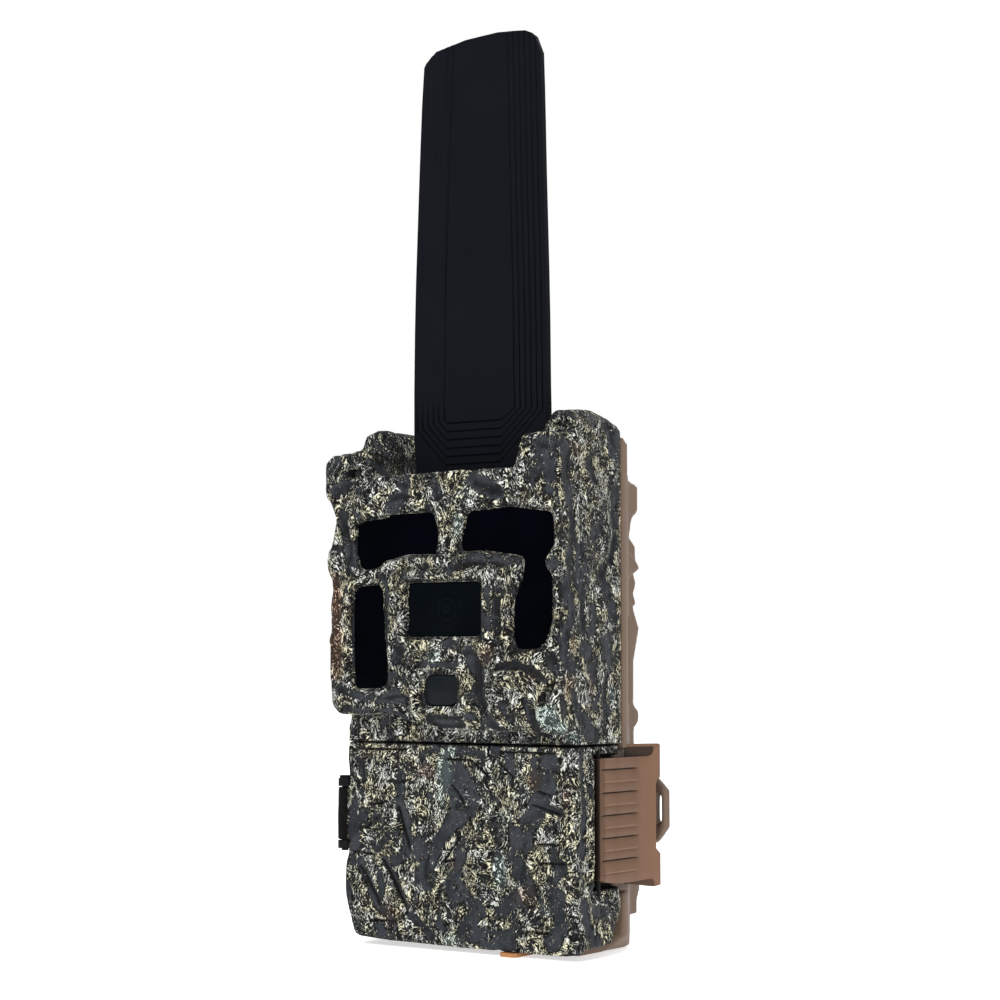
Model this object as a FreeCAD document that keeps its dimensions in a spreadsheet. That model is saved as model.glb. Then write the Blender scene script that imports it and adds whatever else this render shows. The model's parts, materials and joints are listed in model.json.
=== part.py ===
import FreeCAD, Part
import Sketcher
import math
import os

# Trail camera with a folding paddle antenna.  Millimetres, +Z up, +Y to the rear,
# +X to the viewer's right when facing the lens.  The origin is the middle of the
# flat base that the camera stands on.

os.makedirs("parts", exist_ok=True)
V = FreeCAD.Vector
doc = FreeCAD.newDocument("TrailCamera")
sheet = doc.addObject("Spreadsheet::Sheet", "Dims")

# ---------------------------------------------------------------- driving sizes
CELLS = [
    ("body_width", 83.0), ("seam_height", 62.0), ("seam_gap", 0.4),
    ("shoulder_right", 160.3), ("shoulder_left", 158.2), ("notch_floor", 145.5),
    ("notch_half", 26.3), ("front_plane", 30.0), ("bezel_plane", 39.0),
    ("wall_thick", 2.4), ("parting_front", 4.8), ("parting_rear", 4.2),
    ("rear_plane", 18.0), ("rear_half", 30.5), ("taper_start", 1.5),
    ("door_thick", 2.5), ("door_gap", 0.3), ("door_low", 1.6),
    ("collar_front", 19.0), ("collar_top", 58.8), ("collar_right", 35.4),
    ("panel_front", 24.5), ("panel_half", 35.0),
    ("hinge_x", 44.2), ("hinge_y", 29.0), ("hinge_pin_r", 1.1), ("knuckle_r", 2.2),
    ("latch_x", 40.2), ("latch_y", 16.9), ("latch_pin_r", 0.9), ("latch_low", 20.2),
    ("latch_high", 58.2), ("run_fit", 0.05),
    ("bay_half", 31.9), ("bay_front", 15.9), ("bay_rear", 16.1), ("bay_top", 57.2),
    ("slide_gap", 0.35), ("cell_r", 7.2), ("cell_len", 50.5), ("cell_pitch", 14.7),
    ("row_front", 7.4), ("row_rear", 7.7),
    ("lens_x", 0.0), ("lens_z", 102.0), ("lens_win_w", 26.8), ("lens_win_h", 16.2),
    ("lens_r", 6.6), ("pir_x", -1.0), ("pir_z", 77.9), ("pir_w", 12.8), ("pir_h", 9.4),
    ("window_plane", 37.8), ("window_gap", 0.15),
    ("antenna_front", 18.7), ("antenna_thick", 4.2), ("antenna_half_low", 25.4),
    ("antenna_half_top", 22.0), ("antenna_top", 280.0), ("antenna_pin_y", 11.5),
    ("antenna_pin_z", 150.5), ("antenna_pin_r", 1.5),
    ("strap_floor", 12.0), ("strap_low", 73.5), ("strap_high", 100.5), ("strap_bar", 17.4),
    ("bracket_half", 24.0), ("bracket_rear", 33.4), ("socket_z", 113.0),
    ("socket_mouth", 30.0), ("socket_r", 2.55), ("socket_len", 8.0),
    ("eye_front", 12.2), ("eye_rear", 15.0), ("eye_out", 46.8),
    ("screw_r", 1.3), ("screw_head_r", 2.5), ("pcb_thick", 1.6),
    ("button_r", 3.4), ("jack_x", -36.9), ("jack_y", 0.4), ("jack_r", 2.75),
]


class Q:
    """A number together with the spreadsheet expression that gives it."""

    def __init__(self, v, e):
        self.v, self.e = float(v), e

    def _mix(self, other, sign, swap=False):
        a, b = (other, self) if swap else (self, other)
        va, vb = num(a), num(b)
        v = {"+": va + vb, "-": va - vb, "*": va * vb}.get(sign)
        if v is None:
            v = va / vb
        return Q(v, "(%s %s %s)" % (ex(a), sign, ex(b)))

    def __add__(self, o): return self._mix(o, "+")
    def __radd__(self, o): return self._mix(o, "+", True)
    def __sub__(self, o): return self._mix(o, "-")
    def __rsub__(self, o): return self._mix(o, "-", True)
    def __mul__(self, o): return self._mix(o, "*")
    def __rmul__(self, o): return self._mix(o, "*", True)
    def __truediv__(self, o): return self._mix(o, "/")
    def __neg__(self): return self._mix(-1.0, "*")


def num(a):
    return a.v if isinstance(a, Q) else float(a)


def ex(a):
    return a.e if isinstance(a, Q) else ("%.6f" % a if a >= 0 else "(0 - %.6f)" % -a)


D = {}
for i, (alias, value) in enumerate(CELLS, start=1):
    sheet.set("A%d" % i, alias)
    sheet.set("B%d" % i, "%g" % value)
    sheet.setAlias("B%d" % i, alias)
    D[alias] = Q(value, "Dims." + alias)
doc.recompute()

half = D["body_width"] / 2.0
yf = -D["front_plane"]
yb = -D["bezel_plane"]
ypf = -D["parting_front"]
ypr = -D["parting_rear"]
yr = D["rear_plane"]
t = D["wall_thick"]
seam = D["seam_height"]
up_low = seam + 0.2
door_top = seam - D["seam_gap"]
NH = D["notch_half"]
NF = D["notch_floor"]

count = [0]


def uid(name):
    count[0] += 1
    return "%s_%03d" % (name, count[0])


# ---------------------------------------------------------------- feature helpers
def origin_plane(b, role):
    return [f for f in b.Origin.OriginFeatures if f.Role == role][0]


def prism(name, axis, pts, lo, hi, rounds=None):
    """Body with one closed sketch padded along X, Y or Z from lo to hi.
    rounds: list of (vertex number, radius) rounded with a Fillet feature."""
    b = doc.addObject("PartDesign::Body", uid(name))
    sk = b.newObject("Sketcher::SketchObject", uid("Sketch"))
    role = {"X": "YZ_Plane", "Y": "XZ_Plane", "Z": "XY_Plane"}[axis]
    sk.AttachmentSupport = [(origin_plane(b, role), "")]
    sk.MapMode = "FlatFace"
    if axis == "Y":
        sk.setExpression("AttachmentOffset.Base.z", ex(-1.0 * hi if isinstance(hi, Q) else -hi))
    else:
        sk.setExpression("AttachmentOffset.Base.z", ex(lo))
    n = len(pts)
    for i in range(n):
        a, c = pts[i], pts[(i + 1) % n]
        sk.addGeometry(Part.LineSegment(V(num(a[0]), num(a[1]), 0), V(num(c[0]), num(c[1]), 0)), False)
    for i in range(n):
        sk.addConstraint(Sketcher.Constraint("Coincident", i, 2, (i + 1) % n, 1))
    for i, (x, y) in enumerate(pts):
        for kind, value, tag in (("DistanceX", x, "x"), ("DistanceY", y, "y")):
            k = sk.addConstraint(Sketcher.Constraint(kind, -1, 1, i, 1, num(value)))
            if isinstance(value, Q):
                label = "%s%d" % (tag, i)
                sk.renameConstraint(k, label)
                sk.setExpression("Constraints." + label, value.e)
    pad = b.newObject("PartDesign::Pad", uid("Pad"))
    pad.Profile = sk
    pad.setExpression("Length", ex(hi - lo))
    b.Tip = pad
    if rounds:
        doc.recompute()
        for r in sorted({q[1] for q in rounds}, reverse=True):
            names = []
            tip = b.Tip
            for vi, rr in rounds:
                if rr != r:
                    continue
                u, w = num(pts[vi][0]), num(pts[vi][1])
                for ei, e in enumerate(tip.Shape.Edges, start=1):
                    ends = [v.Point for v in e.Vertexes]
                    if len(ends) != 2:
                        continue
                    uv = {"X": [(p.y, p.z) for p in ends], "Y": [(p.x, p.z) for p in ends],
                          "Z": [(p.x, p.y) for p in ends]}[axis]
                    if all(abs(q[0] - u) < 1e-4 and abs(q[1] - w) < 1e-4 for q in uv):
                        names.append("Edge%d" % ei)
            if names:
                fl = b.newObject("PartDesign::Fillet", uid("Fillet"))
                fl.Base = (tip, names)
                fl.Radius = r
                b.Tip = fl
                doc.recompute()
    return b


def rect(x0, x1, y0, y1):
    return [(x0, y0), (x1, y0), (x1, y1), (x0, y1)]


def rbox(name, x0, x1, y0, y1, z0, z1, r, axis="Y"):
    """Box whose four edges along the axis are rounded."""
    if axis == "Y":
        return prism(name, "Y", rect(x0, x1, z0, z1), y0, y1, [(i, r) for i in range(4)])
    if axis == "X":
        return prism(name, "X", rect(y0, y1, z0, z1), x0, x1, [(i, r) for i in range(4)])
    return prism(name, "Z", rect(x0, x1, y0, y1), z0, z1, [(i, r) for i in range(4)])


def box(name, x0, x1, y0, y1, z0, z1):
    o = doc.addObject("Part::Box", uid(name))
    o.setExpression("Length", ex(x1 - x0))
    o.setExpression("Width", ex(y1 - y0))
    o.setExpression("Height", ex(z1 - z0))
    o.setExpression("Placement.Base.x", ex(x0))
    o.setExpression("Placement.Base.y", ex(y0))
    o.setExpression("Placement.Base.z", ex(z0))
    return o


TURN = {"Z": FreeCAD.Rotation(V(0, 0, 1), 0), "Y": FreeCAD.Rotation(V(1, 0, 0), -90),
        "X": FreeCAD.Rotation(V(0, 1, 0), 90)}


def place(o, axis, x, y, z):
    o.Placement = FreeCAD.Placement(V(num(x), num(y), num(z)), TURN[axis])
    o.setExpression("Placement.Base.x", ex(x))
    o.setExpression("Placement.Base.y", ex(y))
    o.setExpression("Placement.Base.z", ex(z))


def cyl(name, axis, x, y, z, r, length):
    """Cylinder that starts at (x, y, z) and runs along the positive axis."""
    o = doc.addObject("Part::Cylinder", uid(name))
    place(o, axis, x, y, z)
    o.setExpression("Radius", ex(r))
    o.setExpression("Height", ex(length))
    return o


def cone(name, axis, x, y, z, r1, r2, length):
    o = doc.addObject("Part::Cone", uid(name))
    place(o, axis, x, y, z)
    o.setExpression("Radius1", ex(r1))
    o.setExpression("Radius2", ex(r2))
    o.setExpression("Height", ex(length))
    return o


def fuse(name, *objs):
    o = doc.addObject("Part::MultiFuse", uid(name))
    o.Shapes = list(objs)
    o.Refine = True
    return o


def cut(name, base, *tools):
    o = doc.addObject("Part::Cut", uid(name))
    o.Base = base
    o.Tool = tools[0] if len(tools) == 1 else fuse(name + "_tools", *tools)
    o.Refine = True
    return o


def group(name, *objs):
    o = doc.addObject("Part::Compound", uid(name))
    o.Links = list(objs)
    return o


def soften(name, obj, r, test):
    """Part fillet of the edges for which test(edge) holds."""
    doc.recompute()
    f = doc.addObject("Part::Fillet", uid(name))
    f.Base = obj
    f.Edges = [(i, r, r) for i, e in enumerate(obj.Shape.Edges, start=1) if test(e)]
    return f


NODES = []


def node(label, obj):
    obj.Label = label
    NODES.append((label, obj))
    return obj


# ================================================================ upper shell
# Outline of the upper shell between the seam and the two shoulders; the antenna
# stands in the notch between them.
SR, SL = D["shoulder_right"], D["shoulder_left"]


def shell_outline(inset):
    k = inset
    return [(-half + k, up_low + k), (half - k, up_low + k), (half - k, SR - 3.4 - k * 0.4), (half - 3.4 - k * 0.4, SR - k),
            (33.4 + k * 0.5, SR - k), (29.2 + k * 0.6, 154.4 - k * 0.3), (NH + k, 152.4 - k * 0.6), (NH + k, NF - k),
            (-NH - k, NF - k), (-NH - k, SL - 1.2 - k), (-30.4, SL - k), (-36.0 + k * 0.5, SL - 1.2 - k),
            (-37.8 + k * 0.8, 152.6 - k * 0.6), (-half + k, 149.4 - k * 0.6)]


outer_flat = prism("upper_outer", "Y", shell_outline(0.0), yf, ypf, [(2, 2.0), (3, 1.6), (4, 1.5), (9, 1.5), (10, 2.0), (11, 1.5), (13, 2.0)])
# The shoulders fall away towards the parting plane.
SHOULDER_FALL = [(-15.6, 170.0), (-15.6, 160.4), (-9.6, 158.4), (-4.4, 155.6), (0.4, 152.0), (0.4, 170.0)]
fall = prism("shoulder_fall", "X", SHOULDER_FALL, 0.0, 60.0)
fall_left = prism("shoulder_fall_left", "X", [(-12.0, 170.0), (-12.0, 158.4), (-4.4, 154.6), (0.4, 151.0), (0.4, 170.0)], -60.0, 0.0)
outer = cut("upper_shaped", outer_flat, fall, fall_left)
inner = prism("upper_inner", "Y", shell_outline(2.4), yf + t, 2.0)

# The raised bezel has an irregular, bark-like outline.
BEZEL = [(-41.6, 73.5), (-39.0, 70.4), (-30.0, 70.2), (-20.0, 71.2), (-12.0, 68.4), (-2.0, 66.2), (9.0, 66.0),
         (22.0, 66.0), (41.5, 65.0), (41.5, 149.5), (39.4, 153.4), (28.4, 153.0), (26.0, 145.4), (-23.5, 145.4),
         (-27.5, 148.5), (-30.0, 151.6), (-41.0, 150.2), (-43.4, 147.6), (-43.4, 134.6), (-41.9, 131.6),
         (-41.6, 123.0), (-43.6, 114.0), (-41.9, 105.0), (-42.8, 98.0), (-42.6, 92.0)]
BEZEL_IN = [(-38.6, 75.5), (-37.0, 73.4), (-20.0, 74.0), (-10.0, 70.8), (20.0, 70.8), (38.6, 72.0), (38.6, 142.8),
            (-38.8, 142.8)]
bezel = prism("bezel_outer", "Y", BEZEL, yb, yf + 0.6, [(8, 2.0), (9, 2.0), (16, 2.0), (17, 1.5)])
bezel_in = prism("bezel_inner", "Y", BEZEL_IN, yb + 3.0, 2.0)

# Outlines of the three infrared windows, read as (X, Z) in the bezel's plane.
WIN_TOP_LEFT = [(-33.0, 128.0), (-30.5, 129.5), (-21.5, 130.0), (-20.0, 131.0), (-5.2, 131.3), (-3.4, 130.2),
                (-2.2, 126.0), (-2.5, 118.6), (-13.0, 118.8), (-22.0, 117.0), (-24.0, 115.2), (-30.0, 114.3),
                (-31.6, 115.6), (-33.0, 119.5)]
WIN_SIDE = [(-34.0, 107.6), (-32.2, 109.3), (-24.2, 109.8), (-22.7, 108.0), (-22.0, 98.0), (-21.5, 92.0),
            (-20.7, 86.0), (-21.0, 80.2), (-23.0, 78.5), (-32.8, 78.3), (-33.6, 80.0), (-34.2, 96.0)]
WIN_RIGHT = [(8.2, 130.2), (9.6, 131.0), (17.0, 131.4), (23.0, 131.8), (33.0, 130.5), (37.6, 130.0), (39.0, 128.4),
             (39.1, 120.0), (36.6, 116.6), (36.3, 114.0), (38.8, 111.0), (38.8, 99.0), (36.6, 92.4), (33.8, 90.1),
             (26.2, 90.0), (24.8, 94.0), (25.0, 104.0), (28.0, 111.0), (28.8, 116.0), (27.0, 117.5), (17.0, 118.9),
             (12.0, 119.3), (6.6, 119.0), (6.1, 122.0), (7.6, 127.0)]


def offset_outline(pts, d):
    """Outline moved outwards by d (inwards for a negative d), by the mean of the
    neighbouring edge normals; the outline runs clockwise or anticlockwise."""
    area = sum(pts[i][0] * pts[(i + 1) % len(pts)][1] - pts[(i + 1) % len(pts)][0] * pts[i][1] for i in range(len(pts)))
    s = 1.0 if area > 0 else -1.0
    out = []
    n = len(pts)
    for i in range(n):
        p, a, b = pts[i], pts[i - 1], pts[(i + 1) % n]
        u = (p[0] - a[0], p[1] - a[1])
        w = (b[0] - p[0], b[1] - p[1])
        lu, lw = math.hypot(*u), math.hypot(*w)
        n1 = (u[1] / lu * s, -u[0] / lu * s)
        n2 = (w[1] / lw * s, -w[0] / lw * s)
        m = (n1[0] + n2[0], n1[1] + n2[1])
        lm = math.hypot(*m)
        c = max(0.45, (n1[0] * m[0] + n1[1] * m[1]) / lm)
        out.append((p[0] + m[0] / lm * d / c, p[1] + m[1] / lm * d / c))
    return out


lx, lz = D["lens_x"], D["lens_z"]
lw, lh = D["lens_win_w"] / 2.0, D["lens_win_h"] / 2.0
px_, pz_ = D["pir_x"], D["pir_z"]
pw, ph = D["pir_w"] / 2.0, D["pir_h"] / 2.0
thru = (-41.0, -34.0)
openings = [prism("open_w1", "Y", WIN_TOP_LEFT, *thru), prism("open_w2", "Y", WIN_SIDE, *thru),
            prism("open_w3", "Y", WIN_RIGHT, *thru),
            rbox("open_lens", lx - lw, lx + lw, thru[0], thru[1], lz - lh, lz + lh, 1.0),
            rbox("open_pir", px_ - pw, px_ + pw, thru[0], thru[1], pz_ - ph, pz_ + ph, 2.8)]
mic_slot = rbox("mic_slot", -37.2, -31.0, -41.0, -34.0, 143.0, 145.6, 1.1)
coax_hole = cyl("coax_hole", "Z", 0.0, -D["antenna_pin_y"], NF - 4.0, 1.3, 6.0)

# Screw bosses that take the housing screws from behind.
BOSS_XZ = [(-34.0, 69.4), (34.0, 69.4), (-34.0, 137.4), (34.0, 137.4)]
bosses = [cyl("boss", "Y", x, -27.8 if z < 100.0 else -36.6, z, 3.2, (27.8 if z < 100.0 else 36.6) + ypf) for x, z in BOSS_XZ]
pilots = [cyl("pilot", "Y", x, -16.0, z, D["screw_r"] + 0.02, 14.0) for x, z in BOSS_XZ]
# Ribs inside the front wall stiffen the shell.
ribs = [box("rib", -38.0, 38.0, -28.0, -24.0, 64.0, 65.6), box("rib", -1.0, 1.0, -28.0, -22.0, 139.0, 143.6)]
shell = cut("upper_hollow", outer, inner)
face = cut("bezel_hollow", bezel, bezel_in)
# The front wall is open behind the bezel, so the optics reach through.
behind = prism("behind_bezel", "Y", BEZEL_IN, -32.0, -26.0)
shell2 = cut("upper_open", shell, behind)
upper = fuse("upper_all", shell2, face, *(bosses + ribs))
# Knots and cracks of the bark relief that are large enough to be geometry.
knots = [cone("knot", "Y", 22.5, -38.9, 76.0, 8.6, 8.6, 0.0 + 0.6), cone("knot", "Y", -29.0, -38.9, 138.0, 5.0, 5.0, 0.6)]
for k in knots:
    k.setExpression("Radius1", "6.0")
    k.setExpression("Radius2", "8.0")
    place(k, "Y", k.Placement.Base.x, -39.9, k.Placement.Base.z)
    k.setExpression("Height", "1.4")
front_housing = node("front_housing", cut("front_housing_cut", fuse("upper_knots", upper, *knots),
                                          *(openings + [mic_slot, coax_hole] + pilots)))

# ================================================================ windows
yw = -D["window_plane"]
back = yb + 3.0 + 0.1


def window(label, pts, plate):
    g = num(D["window_gap"])
    lip = prism(label + "_lip", "Y", offset_outline(pts, -g), yw, back + 0.2)
    x0, x1, z0, z1 = plate
    flange = rbox(label + "_flange", x0, x1, back, back + 1.5, z0, z1, 1.2)
    return node(label, fuse(label + "_fuse", lip, flange))


window("ir_window_top_left", WIN_TOP_LEFT, (-35.2, -0.4, 112.6, 132.9))
window("ir_window_side", WIN_SIDE, (-36.0, -18.6, 76.8, 111.2))
w3_lip = prism("w3_lip", "Y", offset_outline(WIN_RIGHT, -num(D["window_gap"])), yw, back + 0.2)
w3_plate = prism("w3_plate", "Y", [(4.2, 117.0), (25.8, 114.6), (22.8, 104.0), (22.8, 88.4), (38.3, 88.4),
                                   (38.3, 133.4), (4.2, 133.4)], back, back + 1.5)
w3_lip2 = cut("w3_trim", w3_lip, box("w3_edge", 38.3, 41.0, back - 0.01, back + 1.0, 88.0, 134.0))
node("ir_window_right", fuse("w3_fuse", w3_lip2, w3_plate))
g = D["window_gap"]
lens_lip = rbox("lens_lip", lx - lw + g, lx + lw - g, yw, back + 0.2, lz - lh + g, lz + lh - g, 0.9)
lens_flange = rbox("lens_flange", lx - lw - 1.6, lx + lw + 1.6, back, back + 1.5, lz - lh - 1.2, lz + lh + 1.0, 1.2)
node("lens_window", fuse("lens_window_fuse", lens_lip, lens_flange))
# The motion sensor's lens is a thin pane with a shallow domed face.
pir_lip = rbox("pir_lip", px_ - pw + g, px_ + pw - g, -38.4, back + 0.2, pz_ - ph + g, pz_ + ph - g, 2.6)
pir_flange = rbox("pir_flange", px_ - pw - 1.4, px_ + pw + 1.4, back, back + 1.2, pz_ - ph - 1.4, pz_ + ph + 1.4, 2.8)
pir_ball = doc.addObject("Part::Sphere", uid("pir_ball"))
pir_ball.Radius = 30.0
pir_ball.Placement.Base = V(num(px_), -38.9 + 30.0, num(pz_))
pir_face = doc.addObject("Part::Common", uid("pir_face"))
pir_face.Base = pir_lip
pir_face.Tool = pir_ball
pir_scoop = rbox("pir_scoop", px_ - pw + 1.6, px_ + pw - 1.6, -37.2, -34.0, pz_ - ph + 1.6, pz_ + ph - 1.6, 1.6)
node("pir_lens", cut("pir_lens_cut", fuse("pir_lens_fuse", pir_face, pir_flange), pir_scoop))

# ================================================================ rear shell
RH = D["rear_half"]
ts = -D["taper_start"]


def rear_plan(k, front, y_end):
    """Plan of the rear shell inset by k: straight flanks, then a taper to the rear."""
    slope = (half - RH) / (yr - ts)
    x_end = half - slope * (y_end - ts) - k * 1.15
    return [(-half + k, front), (half - k, front), (half - k, ts - k * 0.3), (x_end, y_end), (-x_end, y_end),
            (-half + k, ts - k * 0.3)]


main = prism("rear_main", "Z", rear_plan(0.0, ypr, yr), 0.0, 144.6, [(3, 3.0), (4, 3.0), (2, 6.0), (5, 6.0)])
cavity_a = prism("rear_cavity", "Z", rear_plan(2.4, ypr - 6.0, D["strap_floor"] - t), seam + 1.0, 142.2)
cavity_b = prism("rear_cavity2", "Z", rear_plan(2.4, ypr, yr - t), 105.5, 142.2)
# Shoulder caps close the two hollow shoulders of the upper shell.
cap_r0 = prism("cap_right", "Y", [(NH, 143.0), (half, 143.0), (half, SR - 3.4), (half - 3.4, SR), (33.4, SR), (29.2, 154.4),
                                  (NH, 152.4)], ypr, -0.6, [(2, 2.0)])
cap_l0 = prism("cap_left", "Y", [(-NH, 143.0), (-half, 143.0), (-half, 149.4), (-37.8, 152.6), (-36.0, SL - 1.2), (-30.4, SL),
                                 (-NH, SL - 1.2)], ypr, -0.6, [(3, 1.5)])
cap_r = cut("cap_right_shaped", cap_r0, prism("cap_fall", "X", [(-4.6, 170.0), (-4.6, 155.0), (-0.2, 152.2), (0.4, 170.0)], 0.0, 60.0))
cap_l = cut("cap_left_shaped", cap_l0, prism("cap_fall_left", "X", [(-4.6, 170.0), (-4.6, 154.0), (-0.2, 151.2), (0.4, 170.0)], -60.0, 0.0))
# Side fins whose wavy rear edges bite the tree's bark.
FIN = [(15.0, 8.6), (22.6, 8.6), (22.6, 12.8), (24.4, 16.3), (24.4, 24.0), (22.0, 30.0), (22.0, 55.0), (21.4, 61.6),
       (21.4, 66.0), (23.6, 67.4), (24.4, 69.4), (23.6, 71.4), (20.9, 73.2), (21.3, 87.0), (24.5, 97.0), (21.0, 103.0),
       (18.6, 106.8), (18.6, 112.6), (24.9, 115.4), (24.4, 116.8), (18.5, 121.6), (18.6, 124.6), (20.2, 130.9),
       (23.8, 133.5), (23.9, 142.6), (22.4, 144.4), (15.0, 144.4)]
fins = [prism("fin", "X", FIN, s * RH - (2.4 if s > 0 else 0.0), s * RH + (0.0 if s > 0 else 2.4)) for s in (1, -1)]
bars = [prism("bar", "X", [(16.0, 68.0), (21.0, 68.0), (21.0, 104.5), (16.0, 104.5)], s * RH - (4.4 if s > 0 else 0.0),
              s * RH + (0.0 if s > 0 else 4.4)) for s in (1, -1)]
# Lower collar that the door closes over, with the left flank that carries the hinge.
collar = box("collar", -36.0, D["collar_right"], -D["collar_front"], ypr + 1.0, 0.0, D["collar_top"])
flank = box("flank", -half, -36.0 + 0.5, -24.0, ypr + 1.0, 5.4, D["collar_top"])
bay_plan = [(-D["bay_half"], -D["bay_front"]), (D["bay_half"], -D["bay_front"]), (D["bay_half"], 9.5),
            (28.4, D["bay_rear"]), (-28.4, D["bay_rear"]), (-D["bay_half"], 9.5)]
bay = prism("bay", "Z", bay_plan, -1.0, D["bay_top"])
strap = box("strap_channel", -50.0, 50.0, D["strap_floor"], D["strap_bar"], D["strap_low"], D["strap_high"])
strap2 = box("strap_window", -RH + 4.4, RH - 4.4, D["strap_floor"], 40.0, D["strap_low"], D["strap_high"])
# The flank under the latch lever is cut back so that the lever lies flush.
lever_bed = box("lever_bed", 37.8, 50.0, ypr - 2.0, 9.0, 18.0, 60.4)
top_slope = prism("top_slope", "X", [(10.0, 146.0), (30.0, 146.0), (30.0, 140.0), (18.0, 143.2)], -60.0, 60.0)
heel = prism("heel", "X", [(9.0, -1.0), (60.0, -1.0), (60.0, 8.0), (19.0, 8.0), (19.0, 4.2), (9.0, 0.0)], -60.0, 60.0)
side_cuts = [prism("side_cut", "Y", [(s * 34.2, -1.0), (s * 60.0, -1.0), (s * 60.0, 18.0), (s * half, 4.8),
                                     (s * 34.2, 0.0)], ypr - 0.5, 40.0) for s in (1, -1)]
eye_plate = prism("eye_plate", "Y", [(30.5, 29.0), (43.0, 31.5), (D["eye_out"], 36.0), (D["eye_out"], 47.6),
                                     (43.2, 51.2), (30.5, 53.0)], D["eye_front"], D["eye_rear"], [(1, 1.0), (2, 1.0), (3, 1.0), (4, 1.0)])
eye_slot = rbox("eye_slot", 40.4, 44.9, 8.0, 20.0, 37.2, 46.6, 1.2)
rear_bosses = [cyl("rear_boss", "Y", x, ypr, z, 4.0, 11.0) for x, z in BOSS_XZ]
rear_holes = [cyl("rear_hole", "Y", x, -8.0, z, D["screw_r"] + 0.15, 20.0) for x, z in BOSS_XZ]
rear_sinks = [cyl("rear_sink", "Y", x, 5.0, z, D["screw_head_r"] + 0.3, 20.0) for x, z in BOSS_XZ]
bracket_holes = [cyl("bracket_hole", "Y", x, 12.0, z, D["screw_r"] + 0.02, 8.0) for x in (-17.0, 17.0) for z in (107.5, 128.5)]
panel_holes = [cyl("panel_hole", "Y", x, -19.5, z, 1.12, 3.0) for x in (-32.0, 32.0) for z in (8.0, 54.0)]
cable_hole = cyl("cable_pass", "Z", 6.0, -2.4, D["bay_top"] - 1.0, 1.4, 9.0)
jack_step = box("jack_step", -50.0, -33.4, ypr - 0.6, 12.5, -1.0, 2.2)
rivet_hole = cyl("rivet_hole", "Z", -37.2, 8.2, 0.0, 1.22, 8.0)
jack_hole = cyl("jack_hole", "Z", D["jack_x"], D["jack_y"], -1.0, 3.35, 14.0)
catch_slot = box("catch_slot", 14.6, 21.4, -D["collar_front"] - 1.0, -D["bay_front"] + 1.0, -1.0, 1.6)
# Hollow beside the battery bay on the left, open to the front of the flank.
side_hollow = prism("side_hollow", "Z", [(-39.1, -21.6), (-33.8, -21.6 + 5.0), (-33.8, 3.0), (-36.5, 3.0), (-39.1, -2.0)], 14.8, 56.4)
hinge_holes = [cyl("hinge_hole", "X", -half, -12.0, z, 1.12, 2.2) for z in (33.8, 45.5)]
rear_solid = fuse("rear_solid", main, cap_r, cap_l, collar, flank, *(fins + bars))
rear_open = cut("rear_open", rear_solid, cavity_a, cavity_b, bay, strap, strap2, lever_bed, top_slope, heel,
                side_hollow, *side_cuts)
rear_keep = doc.addObject("Part::Common", uid("boss_keep"))
rear_keep.Base = fuse("rear_boss_all", *rear_bosses)
rear_keep.Tool = prism("rear_hull", "Z", rear_plan(0.6, ypr, yr), 62.5, 144.0)
rear_full = fuse("rear_full", rear_open, rear_keep, eye_plate)
rear_housing = node("rear_housing", cut("rear_housing_cut", rear_full, eye_slot, jack_step, jack_hole, rivet_hole, catch_slot, cable_hole,
                                        *(rear_holes + rear_sinks + bracket_holes + panel_holes + hinge_holes)))

# Rubber seal in the parting plane of the two shells.
SEAL = [(-40.9, 62.8), (40.9, 62.8), (40.9, 150.0), (38.6, 152.6), (31.0, 152.6), (27.2, 150.6), (27.2, 144.9), (-27.2, 144.9),
        (-27.2, 152.2), (-36.2, 152.2), (-40.9, 148.6)]
seal_out = prism("seal_out", "Y", SEAL, ypf + 0.05, ypr - 0.05)
seal_in = prism("seal_in", "Y", offset_outline(SEAL, -1.4), ypf - 1.0, ypr + 1.0)
node("housing_gasket", cut("housing_gasket_cut", seal_out, seal_in))

# ================================================================ front door
dt = D["door_thick"]
DOOR = [(-39.0, 3.7), (7.5, 3.5), (13.5, 3.2), (16.5, D["door_low"]), (31.0, D["door_low"]), (half, 2.6),
        (half, door_top), (-half, door_top), (-half, 14.0)]
door_plate = prism("door_plate", "Y", DOOR, yf, yf + dt, [(0, 2.0), (6, 1.0), (7, 1.0)])
top_rim = box("top_rim", -half, half, yf + 1.0, -5.1, door_top - 2.2, door_top)
low_rim = prism("low_rim", "Z", rect(-38.6, 38.0, yf + 1.2, -19.6), 3.4, 5.0)
left_rim = box("left_rim", -half, -half + 2.3, yf + 1.2, -24.3, 12.0, door_top)
right_wall = prism("right_wall", "X", [(yf + 1.0, 2.6), (-10.6, 3.4), (-5.1, 14.0), (-5.1, door_top), (yf + 1.0, door_top)],
                   half - 2.5, half)
# Recess for the latch lever, with a floor set further in.
lever_floor = box("lever_floor", 35.8, 37.8, -22.6, -5.1, 17.0, door_top)
lever_front = box("lever_front", 35.8, half - 1.0, -22.6, -20.4, 17.0, door_top)
lever_sill = box("lever_sill", 35.8, half - 0.6, -22.6, -5.1, 17.0, D["latch_low"] - 0.4)
lever_head = box("lever_head", 35.8, half - 0.6, -22.6, -5.1, D["latch_high"] + 0.4, door_top)
recess = box("lever_recess", 37.8, 50.0, -20.4, -5.0, D["latch_low"] - 0.4, D["latch_high"] + 0.4)
barrel = cyl("door_barrel", "Z", -D["hinge_x"], -D["hinge_y"], 31.6, D["knuckle_r"], 16.1)
web = box("door_web", -D["hinge_x"], -half + 0.5, yf + 0.2, -27.6, 31.6, 47.7)
pin_bore = cyl("door_pin_bore", "Z", -D["hinge_x"], -D["hinge_y"], 20.0, D["hinge_pin_r"] + D["run_fit"], 40.0)
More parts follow.
